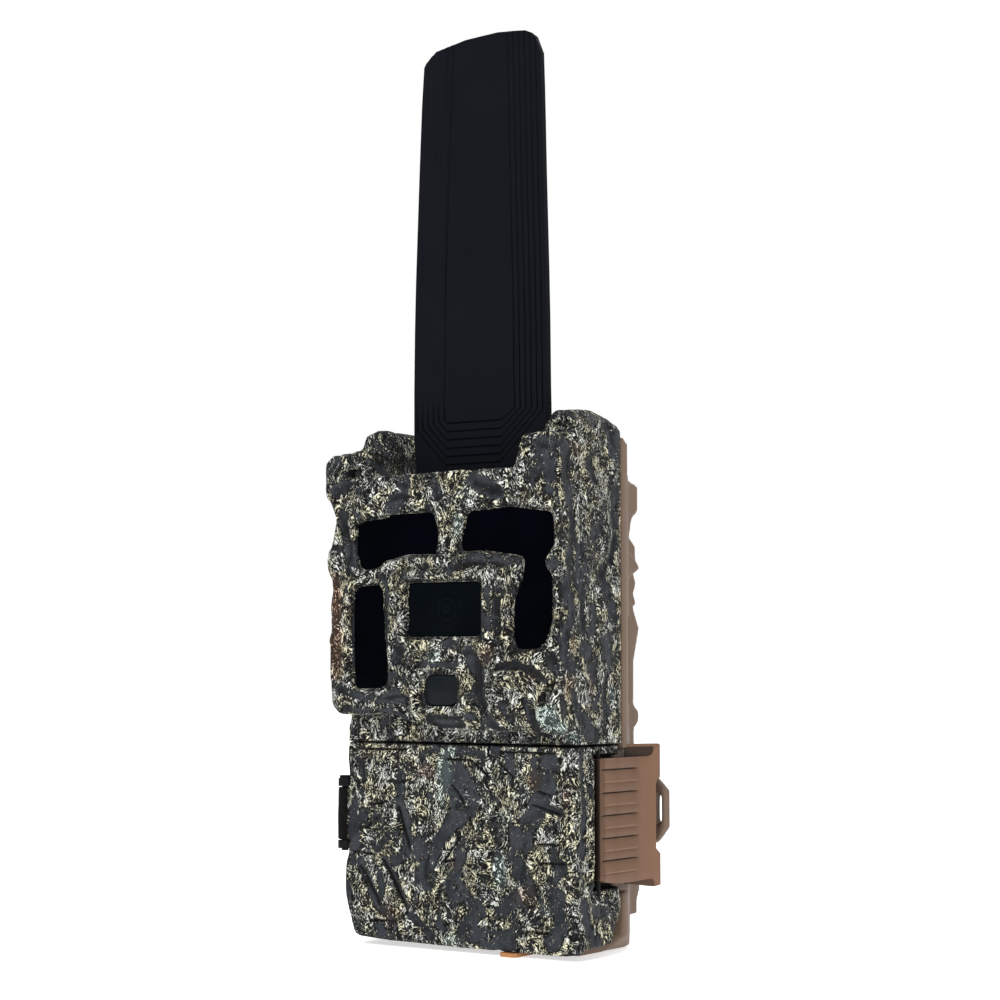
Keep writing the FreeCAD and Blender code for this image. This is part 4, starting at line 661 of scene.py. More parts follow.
def upper_shell():
    o = remeshed("bark_front_shell", ["front_housing"], 0.60)
    me = o.data
    co = coords(me)
    e = edges_of(me)
    # lower right of the bezel runs out to the seam without a step
    x, y, z = co[:, 0].copy(), co[:, 1].copy(), co[:, 2].copy()
    depth = np.clip(-30.0 - y, 0, None)
    run = np.clip((z - 62.2) / 12.5, 0, 1)
    slope = 0.10 + 0.90 * (1 - (1 - run) ** 1.8)
    mask = step(7.5, 13.0, x)
    s = 1 - mask * (1 - slope) * step(80.0, 72.0, z)
    y = np.where(depth > 0, -30.0 - depth * s, y)
    # centre: the ledge below the motion sensor leans back
    mid = step(-14.0, -9.0, x) * step(13.0, 8.0, x)
    run2 = np.clip((z - 62.2) / 9.0, 0, 1)
    s2 = 1 - mid * (1 - (0.30 + 0.70 * run2)) * step(73.0, 70.0, z)
    depth = np.clip(-30.0 - y, 0, None)
    y = np.where(depth > 0, -30.0 - depth * s2, y)
    co[:, 1] = y
    # wavy left edge of the bezel
    zz = [66, 70, 78, 86, 93, 96, 99, 104, 109, 113, 117, 120.5, 124, 130, 135.6, 137, 140, 148, 152]
    dx = [0.0, -0.3, -0.5, -0.6, -0.6, 0.5, 0.4, -0.6, 0.9, 0.7, -1.2, -1.3, -0.2, 1.0, 0.9, -1.2, -1.6, -1.6, -0.8]
    co[:, 0] += np.interp(z, zz, dx) * step(-35.5, -41.0, x) * step(-26.0, -31.0, y)
    co[:, 0] -= 0.9 * step(68.5, 66.5, co[:, 2]) * step(-36.0, -41.0, co[:, 0]) * step(-22.0, -27.0, co[:, 1])
    co[:, 2] += 1.1 * step(150.0, 156.0, co[:, 2]) * step(28.0, 38.0, co[:, 0]) * np.exp(-((co[:, 1] + 17.0) / 9.0) ** 2)
    # the lip under the antenna slopes down to the front and a little to the left
    lipm = step(27.5, 25.5, np.abs(x)) * step(-17.0, -19.0, y) * step(140.0, 146.0, z)
    co[:, 2] -= lipm * (0.9 + 1.2 * step(-22.0, -37.0, y) + 0.5 * step(8.0, -16.0, x))
    co[:, 2] -= step(62.9, 62.3, co[:, 2]) * (0.12 + 0.18 * step(-24.0, -31.0, co[:, 0])) * step(-4.0, -6.0, co[:, 1])
    near = np.full(len(co), 1e9)
    inner = np.zeros(len(co), bool)
    for w in (WIN_TOP_LEFT, WIN_SIDE, WIN_RIGHT, LENS_WIN, PIR_WIN):
        d, _ = path_distance(co[:, 0], co[:, 2], w, True)
        near = np.minimum(near, d)
        inner |= inside(co[:, 0], co[:, 2], w)
    out_side = step(-4.0, -7.0, co[:, 1])
    keep = np.where((near < 0.9) & (co[:, 1] < -33.0), 0.35, 1.0)
    co = taubin(co, e, 2, out_side * step(62.3, 63.6, co[:, 2]))
    co = relax(co, e, 5, 0.5, keep * out_side * step(62.3, 63.6, co[:, 2]))
    set_coords(me, co)
    n = normals(me)
    x, y, z = co[:, 0], co[:, 1], co[:, 2]
    # which points belong to the outer skin
    front = step(0.35, 0.75, -n[:, 1]) * (y < -28.5) * ((y < -36.6) | (z < 80) | (z > 140) | (np.abs(x) > 38.5) | (y > -34.0))
    deep = (y > -37.0) & (y < -34.0) & (n[:, 1] > 0)
    front = np.where(deep, 0, front)
    side = step(0.45, 0.8, np.abs(n[:, 0])) * (np.abs(x) > 40.0) * step(-5.4, -7.0, y)
    top = step(0.3, 0.7, n[:, 2]) * (z > 146.0) * step(-5.4, -7.0, y) * (np.abs(x) > 27.0)
    lip = step(0.5, 0.8, n[:, 2]) * (z > 142.6) * (z < 147.0) * (y < -19.0)
    P = np.stack([x, y, z], 1)
    relief = bark_noise(P)
    tf = slate_field(x, z, SLATE_FRONT)
    ts = slate_field(y, z, SLATE_SIDE)
    noisy = step(-0.74, -0.50, fbm(P * np.array([1, 1, 0.6]), 0.11, 301, 3))
    tex_f, tex_s = tf * noisy, ts * step(-0.62, -0.40, fbm(P * np.array([1, 1, 0.5]), 0.12, 311, 3))
    isfront = np.clip(front, 0, 1)
    tex = np.where(isfront > 0.5, tex_f, tex_s)
    tex = np.where(top > 0.5, step(-0.2, 0.0, fbm(P, 0.12, 321, 2)), tex)
    # large forms of the front
    h = 0.55 * relief + 0.42 * (tf - 0.5)
    frame_lift = np.exp(-((near - 2.3) / 1.5) ** 2)
    h = h + 0.62 * frame_lift * step(140, 134, z)
    for pts, w, k in ([(-22, 114.6), (-14, 118.0), (-2, 118.0)], 1.2, 0.6), ([(0, 113.6), (5, 116.6), (10, 118.2), (20, 117.4), (28, 115.6)], 1.1, 0.9), \
            ([(-19.5, 112), (-18.6, 100), (-18.4, 92), (-16, 90)], 1.6, 0.55), ([(16.6, 111), (16.2, 100), (16.4, 91)], 1.6, 0.5), \
            ([(-17, 111.6), (0, 112.4), (15, 112)], 1.4, 0.5), ([(-30, 74.4), (-20, 74), (-12, 75.4)], 1.0, 0.8), ([(-36, 72), (-24, 72.6), (-14, 69.4), (-8, 66.6), (0, 65.4), (9, 65.8)], 0.9, 0.8), \
            ([(-9.6, 84), (-10.6, 78), (-9.6, 72), (-6, 68.6)], 1.6, 0.9), ([(-8.5, 84.6), (-1, 86.4), (6.6, 85)], 1.5, 0.9), ([(8.2, 84), (9.0, 78), (8.2, 71.4), (11, 68)], 1.6, 0.9), \
            ([(13, 82), (19, 86.6), (27, 87.6), (34, 85), (40, 84)], 1.3, 0.8), ([(25, 83.6), (31, 82.4), (36, 79.4)], 0.8, 0.5), ([(-28, 147.6), (-24, 142)], 1.0, 0.5), \
            ([(-42, 112), (-40, 122)], 2.5, 0.7), ([(-40, 148), (-31, 149)], 1.5, 0.4), ([(14.6, 80), (14.6, 74), (18, 69), (22, 66.4)], 1.0, 0.6), ([(30, 78), (30, 72), (27, 67)], 0.9, 0.5), \
            ([(29, 146.6), (34, 147.4), (40, 146)], 0.9, 0.5), ([(-21, 137), (-16, 138.6), (-10, 137)], 0.9, 0.4), ([(-33, 145), (-31, 147.6), (-29.6, 145)], 0.8, 0.5):
        h = h + ridge(x, z, pts, w, k)
    for pts, w, k in ([(-38, 131), (-35, 122), (-34.6, 115)], 1.4, -0.7), ([(12.6, 88), (13, 78), (16, 70)], 1.5, -0.9), ([(-15, 141), (-15, 135)], 2.0, -0.5), \
            ([(-7, 70.2), (6, 70.0)], 1.0, -0.7), ([(-6, 67.2), (8, 67.4)], 0.8, -0.5), ([(3, 113.2), (14, 115.6), (24, 114.2)], 0.7, -0.5), ([(10, 140), (20, 136)], 1.6, -0.5), \
            ([(-22, 109), (-20.8, 96)], 0.7, -0.5), ([(-24, 146), (-20, 141.6)], 1.4, -0.6), ([(20, 99), (20, 93)], 1.2, -0.4), ([(-18, 88), (-13, 84)], 1.2, -0.5), ([(-3, 139), (-2, 134)], 0.9, -0.4), \
            ([(31, 73), (31, 65)], 1.0, -0.4), ([(36, 90), (41, 86)], 1.3, -0.5):
        h = h + ridge(x, z, pts, w, k)
    # knots
    h = h + rings(x, z, 23.0, 77.6, 8.8, 2.1, 0.30) + 0.7 * step(9.0, 5.0, np.hypot(x - 23, z - 77.6)) - 0.6 * step(3.0, 0.5, np.hypot(x - 23, z - 76.5))
    h = h + rings(x, z, -28.0, 137.2, 6.4, 1.7, 0.26) + 0.8 * step(6.5, 3.5, np.hypot(x + 28, z - 137.2)) - 0.5 * step(2.5, 0.5, np.hypot(x + 28, z - 137.2))
    h = h + rings(x, z, 3.0, 139.0, 7.0, 1.6, 0.16, 0.5)
    h = h + rings(x, z, -6.0, 115.0, 3.2, 1.4, 0.18)
    # leaf-shaped pit
    pit = [(34.2, 75.2), (35.6, 78.8), (38.4, 80.6), (40.6, 82.0), (39.6, 78.6), (37.6, 75.4), (36.0, 73.4), (34.4, 73.2)]
    dp, _ = path_distance(x, z, pit, True)
    inp = inside(x, z, pit)
    h = h - 1.3 * np.where(inp, step(0.0, 0.7, dp), 0) + 0.35 * np.where(inp, 0, np.exp(-(dp / 0.8) ** 2))
    # the opening's own edge stays clear of the windows
    h = h * step(0.15, 1.6, near)
    h = np.where(near < 0.15, 0.0, h)
    slot = (x > -37.8) & (x < -30.4) & (z > 142.4) & (z < 146.2)
    h = np.where(slot, 0, h)
    hs = 0.85 * bark_noise(P + 60.0) + 0.32 * (ts - 0.5)
    hs = hs + ridge(y, z, [(-24, 158), (-12, 146), (-8, 138)], 1.6, 0.3)
    edge_fade = step(62.2, 63.4, z)
    push = np.zeros_like(co)
    push[:, 1] -= h * isfront * edge_fade
    amt = hs * np.clip(side + top + lip * 0.6, 0, 1) * edge_fade * np.where(isfront > 0.5, 0, 1)
    push += n * amt[:, None]
    co = co + push
    co = relax(co, e, 1, 0.35, np.clip(isfront + side + top, 0, 1) * step(62.3, 63.2, co[:, 2]))
    # paint: the print's fibre density and tints, painted shade and painted highlight
    # painted shade, near-black: in the relief's hollows, the leaf-shaped pit, under the left shoulder and on the
    # facet beside it, inside the window frames, in the slot under the antenna and along the seam to the door
    painted_shade_and_black = np.zeros(len(co))
    outer_skin = np.clip(isfront + side + top + lip, 0, 1)
    hol = hollow(h * isfront + hs * (1 - isfront), e)
    painted_shade_and_black = np.maximum(painted_shade_and_black, 0.72 * step(0.07, 0.26, hol) * outer_skin)
    # painted highlight: the relief's crests get denser bright fibres
    tex = np.clip(tex + 0.35 * step(0.04, 0.20, -hol), 0, 1.2)
    painted_shade_and_black = np.maximum(painted_shade_and_black, np.where(inp & (dp < 0.8), 0.9, 0) * isfront)
    painted_shade_and_black = np.maximum(painted_shade_and_black, 0.75 * step(151.6, 149.6, z) * step(145.6, 146.6, z) * (x > -30.5) * (x < -23.5) * (y > -36.5))
    painted_shade_and_black = np.maximum(painted_shade_and_black, np.where(inside(x, z, [(-27.6, 148.6), (-24.4, 149), (-19.6, 143.4), (-23, 143)]), 0.5, 0))
    painted_shade_and_black = np.maximum(painted_shade_and_black, 0.75 * ((y > -37.4) & (y < -33) & (near < 1.6)))
    painted_shade_and_black = np.maximum(painted_shade_and_black, np.where(inside(x, z, [(-37.02, 144.38), (-35.98, 145.16), (-30.42, 145.57), (-29.81, 144.03), (-30.93, 142.98), (-36.32, 143.1)]) & (y < -30), 1.0, 0))
    painted_shade_and_black = np.maximum(painted_shade_and_black, 0.95 * step(62.35, 62.1, z) * (y < -8))
    tex = tex * (1 - 0.28 * step(-22, -27, x) * step(136, 139, z) * isfront) * (1 - 0.30 * step(28, 32, x) * step(130, 138, z) * isfront)
    warm = spots(x, z, [(-41.0, 104, 3.6, 9.5, 0.95), (-40.6, 92, 4.0, 8.0, 0.85), (-40, 84, 3.0, 4.0, 0.7), (16, 88.4, 3.2, 3.2, 0.55), (33, 82.4, 2.4, 1.6, 0.45),
                        (-33.5, 101, 1.5, 8, 0.4)]) * isfront
    warm = np.maximum(warm, spots(y, z, [(-32, 91, 2.0, 3.0, 0.55), (-31, 148.6, 4.0, 2.2, 0.35), (-34, 79, 3, 5, 0.45), (-22, 80, 2.4, 4, 0.35), (-5.5, 110, 1.0, 60, 0.3)]) * (x > 40) * (1 - isfront))
    warm = np.maximum(warm, spots(y, z, [(-37, 100, 4.0, 14.0, 0.85)]) * (x < -39) * (1 - isfront))
    mint = spots(x, z, [(36.6, 70.0, 4.4, 4.6, 1.0), (39.6, 66.4, 3.4, 3.4, 0.9), (6.0, 127.2, 2.0, 3.6, 0.8), (-3.0, 88.0, 3.4, 2.2, 0.7), (9, 137, 2, 3, 0.3)]) * isfront
    mint = np.maximum(mint, spots(y, z, [(-38, 66, 4, 4, 0.9), (-30, 64.6, 2.5, 2.5, 0.5), (-11, 126, 1.6, 8, 0.5), (-10.6, 76, 1.4, 3.2, 0.7), (-12, 86, 1.2, 3.0, 0.4)]) * (x > 40) * (1 - isfront))
    paint(me, "camo_print_and_painted_light", np.stack([tex, mint, warm, painted_shade_and_black], 1))
    finish_grid(o, co, CAMO)
    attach(o, "housing")
    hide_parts("front_housing")
    return o


def door_shell():
    o = remeshed("bark_front_door", ["front_door"], 0.46)
    me = o.data
    co = coords(me)
    e = edges_of(me)
    x, y, z = co.T.copy()
    outer = np.clip((y < -28.6) * 1.0 + (x > 39.6) * 1.0 + (x < -40.4) * 1.0 + (z < 3.0), 0, 1)
    hinge_zone = (x < -41.4) & (z > 30.8) & (z < 48.6)
    zz = [2, 5, 12, 20, 25, 28, 52, 56, 61, 62]
    dx = [-0.6, -1.0, -1.7, -1.9, -1.5, -0.5, -0.5, -0.9, -0.8, -0.7]
    co[:, 0] += np.interp(z, zz, dx) * step(-34.5, -40.5, x) * step(-21.0, -25.0, y) * np.where(hinge_zone, 0.0, 1.0)
    wgt = np.where(hinge_zone, 0.0, 1.0)
    co[:, 2] += step(60.9, 61.5, z) * (0.10 + 0.15 * step(-24.0, -31.0, x))
    drop = step(8.0, 3.5, z) * step(-24.5, -27.5, y) * wgt
    low = co[:, 2] - drop * np.interp(x, [-42, -30, 0, 12, 14, 20, 42], [0.9, 1.7, 2.2, 2.1, 1.3, 1.1, 0.8])
    co[:, 2] = np.maximum(low, np.minimum(co[:, 2], np.where((x > 11.5) & (x < 24.5), 1.35, 1.2)))
    co[:, 0] += 1.35 * step(39.6, 40.3, x) * step(41.4, 40.8, x) * (y > -22.9) * (y < -20.1) * step(19.9, 20.6, z) * step(58.4, 57.7, z)
    co = taubin(co, e, 2, wgt)
    co = relax(co, e, 6, 0.5, outer * wgt * step(61.5, 60.4, co[:, 2]))
    set_coords(me, co)
    n = normals(me)
    x, y, z = co.T
    P = co.copy()
    isfront = step(0.35, 0.75, -n[:, 1]) * (y < -28.6)
    side_r = step(0.45, 0.8, n[:, 0]) * (x > 40.2)
    side_l = step(0.45, 0.8, -n[:, 0]) * (x < -40.6) * np.where(hinge_zone, 0, 1)
    tf = slate_field(x, z, SLATE_DOOR)
    ts = slate_field(y, z, SLATE_DOOR_SIDE)
    h = 0.62 * bark_noise(P + 31.0) + 0.36 * (tf - 0.5)
    for pts, w, k in ([(16.6, 12.4), (27.0, 24.6)], 1.6, 0.6), ([(-37.6, 23.6), (-30.2, 12.0)], 1.3, -0.55), ([(-28.8, 26.0), (-19.6, 10.6)], 1.3, -0.55), \
            ([(-23.4, 44.0), (-19.0, 29.6)], 1.6, -0.55), ([(-12, 30), (-13, 22), (-6, 14)], 1.2, -0.45), ([(-3.0, 49.4), (2, 44), (5, 37)], 1.6, -0.5), \
            ([(14, 57), (20, 52), (27, 49)], 1.0, 0.45), ([(20, 40), (30, 47), (36, 56)], 1.0, 0.35), ([(-36, 58), (-37, 46), (-34, 38)], 1.0, -0.3), \
            ([(0, 18), (7, 12), (0, 6)], 2.0, -0.3), ([(24, 30), (22, 24), (29, 19)], 1.2, -0.4), ([(-16, 56), (-14, 40), (-16, 32)], 2.2, 0.3), \
            ([(-8, 40), (-4, 52)], 2.0, 0.25), ([(31, 22), (34, 10)], 1.8, -0.3):
        h = h + ridge(x, z, pts, w, k)
    h = h + rings(x, z, 9.0, 26.0, 8.4, 1.9, 0.22, 0.85) + 0.35 * step(9.0, 6.0, np.hypot(x - 9, (z - 26) * 0.85))
    h = h + rings(x, z, 3.0, 46.0, 4.2, 1.9, 0.15)
    crack = np.full(len(co), 1e9)
    for c in CRACKS:
        d, t = path_distance(x, z, c)
        crack = np.minimum(crack, d)
    h = h - 0.5 * step(0.75, 0.15, crack)
    h = h * step(61.5, 60.9, z)
    fade = step(1.6, 2.8, z)
    hs = 0.7 * bark_noise(P + 90.0) + 0.25 * (ts - 0.5)
    push = np.zeros_like(co)
    push[:, 1] -= h * isfront * fade
    push += n * (hs * np.clip(side_r + side_l, 0, 1) * (1 - isfront) * step(61.4, 60.6, z) * fade)[:, None]
    keep = (x > 35.0) & (y > -23.2) & (z > 16.0)       # the latch's recess stays as it is
    side_strip = (x > 35.0) & (y > -24.5) & (y < -20.0)
    push[keep & ~side_strip] *= 0.0
    co = co + push
    # painted shade, near-black: in the cracks, the relief's hollows, along the top edge at the seam and in the latch
    # recess; the hinge knuckles at the left edge and the inner faces are painted near-black too
    painted_shade_and_black = 1.0 * step(0.48, 0.26, crack) * isfront
    hol = hollow(h * isfront + hs * (1 - isfront), e)
    painted_shade_and_black = np.maximum(painted_shade_and_black, 0.65 * step(0.08, 0.28, hol) * np.clip(isfront + side_r + side_l, 0, 1))
    painted_shade_and_black = np.maximum(painted_shade_and_black, 1.0 * (x < -42.3) * (z > 30.0) * (z < 49.4))
    inner = np.where((isfront < 0.2) & (side_r < 0.2) & (side_l < 0.2) & (y > -28.0) & (z > 3.0), 1.0, 0.0)
    painted_shade_and_black = np.maximum(painted_shade_and_black, 0.95 * inner)
    painted_shade_and_black = np.maximum(painted_shade_and_black, 0.95 * step(61.1, 61.4, z) * (y < -8))
    recess = ((x > 35.2) & (y > -20.7) & (z > 19.4) & (z < 59.2)) * 1.0
    painted_shade_and_black = np.maximum(painted_shade_and_black, recess)
    noisy = step(-0.66, -0.44, fbm(P * np.array([1, 1, 0.6]), 0.12, 401, 3))
    tex = np.where(isfront > 0.5, tf, ts) * noisy
    # painted highlight: the relief's crests get denser bright fibres
    tex = np.clip(tex + 0.35 * step(0.04, 0.20, -hol), 0, 1.2)
    warm = spots(x, z, [(-12, 53.6, 4.0, 2.4, 0.55), (27, 51.6, 2.6, 3.4, 0.55), (23.4, 18, 4.0, 3.0, 0.45), (-26, 9.6, 4.0, 3.0, 0.4), (38, 47, 1.6, 3.0, 0.5), (-2, 25.6, 2, 1.6, 0.4)]) * isfront
    mint = spots(x, z, [(-5.6, 53.6, 3.0, 8.0, 0.85), (-3.5, 60, 3, 2.5, 0.8), (14.6, 25.0, 2.4, 6.0, 0.9), (-6.6, 45, 2.0, 3.0, 0.5), (-3, 3.4, 3.2, 2.0, 0.7), (32, 14, 2.4, 2.0, 0.4), (17, 41, 3, 2.4, 0.35)]) * isfront
    paint(me, "camo_print_and_painted_light", np.stack([tex, mint, warm, painted_shade_and_black], 1))
    finish_grid(o, co, CAMO)
    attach(o, "door")
    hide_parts("front_door")
    return o


upper_shell()
door_shell()


# =============================================================== antenna blade
def blade():
    """Flat blade with a fan of shallow steps; it leans back a little."""
    t = 2.9
    half = [(147.0, 24.3), (157.5, 25.0), (170.0, 25.05), (190.0, 24.85), (205.0, 24.55), (220.0, 24.15), (235.0, 23.75), (250.0, 23.3),
            (262.0, 22.9), (272.0, 22.5)]
    top = [(-22.6, 274.1), (-21.2, 275.8), (-19.5, 277.4), (-17.8, 278.7), (-12.5, 279.9), (-7.1, 280.9), (-1.0, 281.2), (5.3, 281.45),
           (11.1, 280.9), (16.4, 280.2), (18.6, 278.5), (20.5, 276.5), (21.3, 275.0), (21.4, 272.6)]

    def yf(z):
        return -19.9 + 1.5 * min(1.0, max(0.0, (z - 158.0) / 115.0))

    def hw(z):
        return float(np.interp(z, [p[0] for p in half], [p[1] for p in half]))

    def cut_r(z):
        return float(np.interp(z, [157.5, 200.0, 235.0], [0.3, 0.7, 1.05]))

    def cut_l(z):
        return float(np.interp(z, [157.5, 200.0], [0.0, 0.4]))

    def ztop(x):
        return float(np.interp(x, [p[0] for p in top], [p[1] for p in top]))

    n_steps, rise = 6, 0.15
    zs = [170.0, 190.0, 205.0, 220.0, 235.0, 250.0, 262.0]

    def contour(k, e):
        """k = 0 is the outermost step; e shifts it inwards a little."""
        zb = 147.2 + 2.6 * k + e             # level part
        xr = 23.3 - 2.15 * k - e             # upright part, right
        xl = -(23.5 - 1.95 * k - e)          # upright part, left
        right = [(7.8, zb), (xr, 162.4 + 0.25 * k)] + [(xr - (24.9 - hw(z)) - cut_r(z), z) for z in zs]
        xt = xr - 3.65
        right.append((xt, ztop(xt)))
        left = [(-12.6, zb), (xl, 158.4 + 0.62 * k)] + [(xl + (24.9 - hw(z)) - cut_l(z), z) for z in zs]
        xt = xl + 2.2
        left.append((xt, ztop(xt)))
        return left[::-1] + right

    right = [(23.2, 145.1), (25.0, 157.5)] + [(hw(z) - cut_r(z), z) for z in zs] + [(21.4, 272.6)]
    left = [(-24.1, 145.1), (-25.0, 157.5)] + [(-hw(z) - cut_l(z), z) for z in zs] + [(-22.6, 274.1)]
    rim = left[::-1] + right
    m = len(rim)
    verts, faces = [], []

    def add(x, y, z):
        verts.append((x, y, z))
        return len(verts) - 1

    deep = rise * n_steps
    dark = []
    rows = [[add(x * 0.985, yf(z) + t, z) for x, z in rim],
            [add(x, yf(z) + t - 0.4, z) for x, z in rim],
            [add(x, yf(z) + 0.35, z) for x, z in rim],
            [add(x * 0.988, yf(z), z) for x, z in rim]]
    for k in range(n_steps):
        rows.append([add(x, yf(z) + rise * k, z) for x, z in contour(k, -0.42)])
        dark_from = len(verts)
        rows.append([add(x, yf(z) + rise * k, z) for x, z in contour(k, -0.16)])
        rows.append([add(x, yf(z) + rise * (k + 1), z) for x, z in contour(k, 0.20)])
        dark += list(range(dark_from, len(verts)))
        rows.append([add(x, yf(z) + rise * (k + 1), z) for x, z in contour(k, 0.42)])
    for a, b in zip(rows, rows[1:]):
        for i in range(m - 1):
            faces.append((a[i], a[i + 1], b[i + 1], b[i]))
    inner = rows[-1]
    half_n = m // 2

    def ladder(row):
        for i in range(half_n - 1):
            faces.append((row[i], row[i + 1], row[m - 2 - i], row[m - 1 - i]))
    ladder(inner)
    ladder(rows[0])

    def arch(row, off):
        x0, x1 = verts[row[0]][0], verts[row[-1]][0]
        mids = [add(x, off(ztop(x)), ztop(x)) for x in np.linspace(x0, x1, 21)[1:-1]]
        return [row[0]] + mids + [row[-1]]
    fr = arch(inner, lambda z: yf(z) + deep)
    bk = arch(rows[0], lambda z: yf(z) + t)
    faces.append(tuple(fr))
    faces.append(tuple(bk))
    faces.append(tuple([r[0] for r in rows] + fr[1:-1] + [r[-1] for r in rows][::-1] + bk[1:-1][::-1]))
    o = mesh_from("antenna_blade", verts, faces, smooth=False)
    marks = np.zeros((len(verts), 4))
    # painted shadow lines: the rows at each step's edge are darkened, less towards the top and not at the upper left
    marks[dark, 0] = [0.0 if verts[i][0] < -14.0 and verts[i][2] > 165.0 else 0.92 - 0.50 * min(1.0, max(0.0, (verts[i][2] - 162.0) / 80.0)) for i in dark]
    marks[:, 3] = 1.0
    paint(o.data, "painted_light", marks)
    bm = bmesh.new()
    bm.from_mesh(o.data)
    bmesh.ops.triangulate(bm, faces=[f for f in bm.faces if len(f.verts) > 4])
    # hinge ears on the back
    for x0 in (-12.2, 8.2):
        prof = [(-18.2, 147.4), (-18.2, 153.6)] + [(-11.5 + 3.0 * math.cos(q), 150.5 + 3.0 * math.sin(q))
                                                    for q in np.linspace(math.pi / 2 * 0.95, -math.pi / 2, 14)]
        ring = []
        for xx in (x0, x0 + 4.0):
            ring.append([bm.verts.new((xx * MM, a * MM, b * MM)) for a, b in prof])
        k = len(prof)
        for i in range(k):
            bm.faces.new((ring[0][i], ring[0][(i + 1) % k], ring[1][(i + 1) % k], ring[1][i]))
        bm.faces.new(ring[0][::-1])
        bm.faces.new(ring[1])
    bmesh.ops.recalc_face_normals(bm, faces=bm.faces)
    bm.to_mesh(o.data)
    bm.free()
    o.data.materials.append(BLACK)
    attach(o, "antenna")
    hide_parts("antenna_paddle")
    return o


blade()


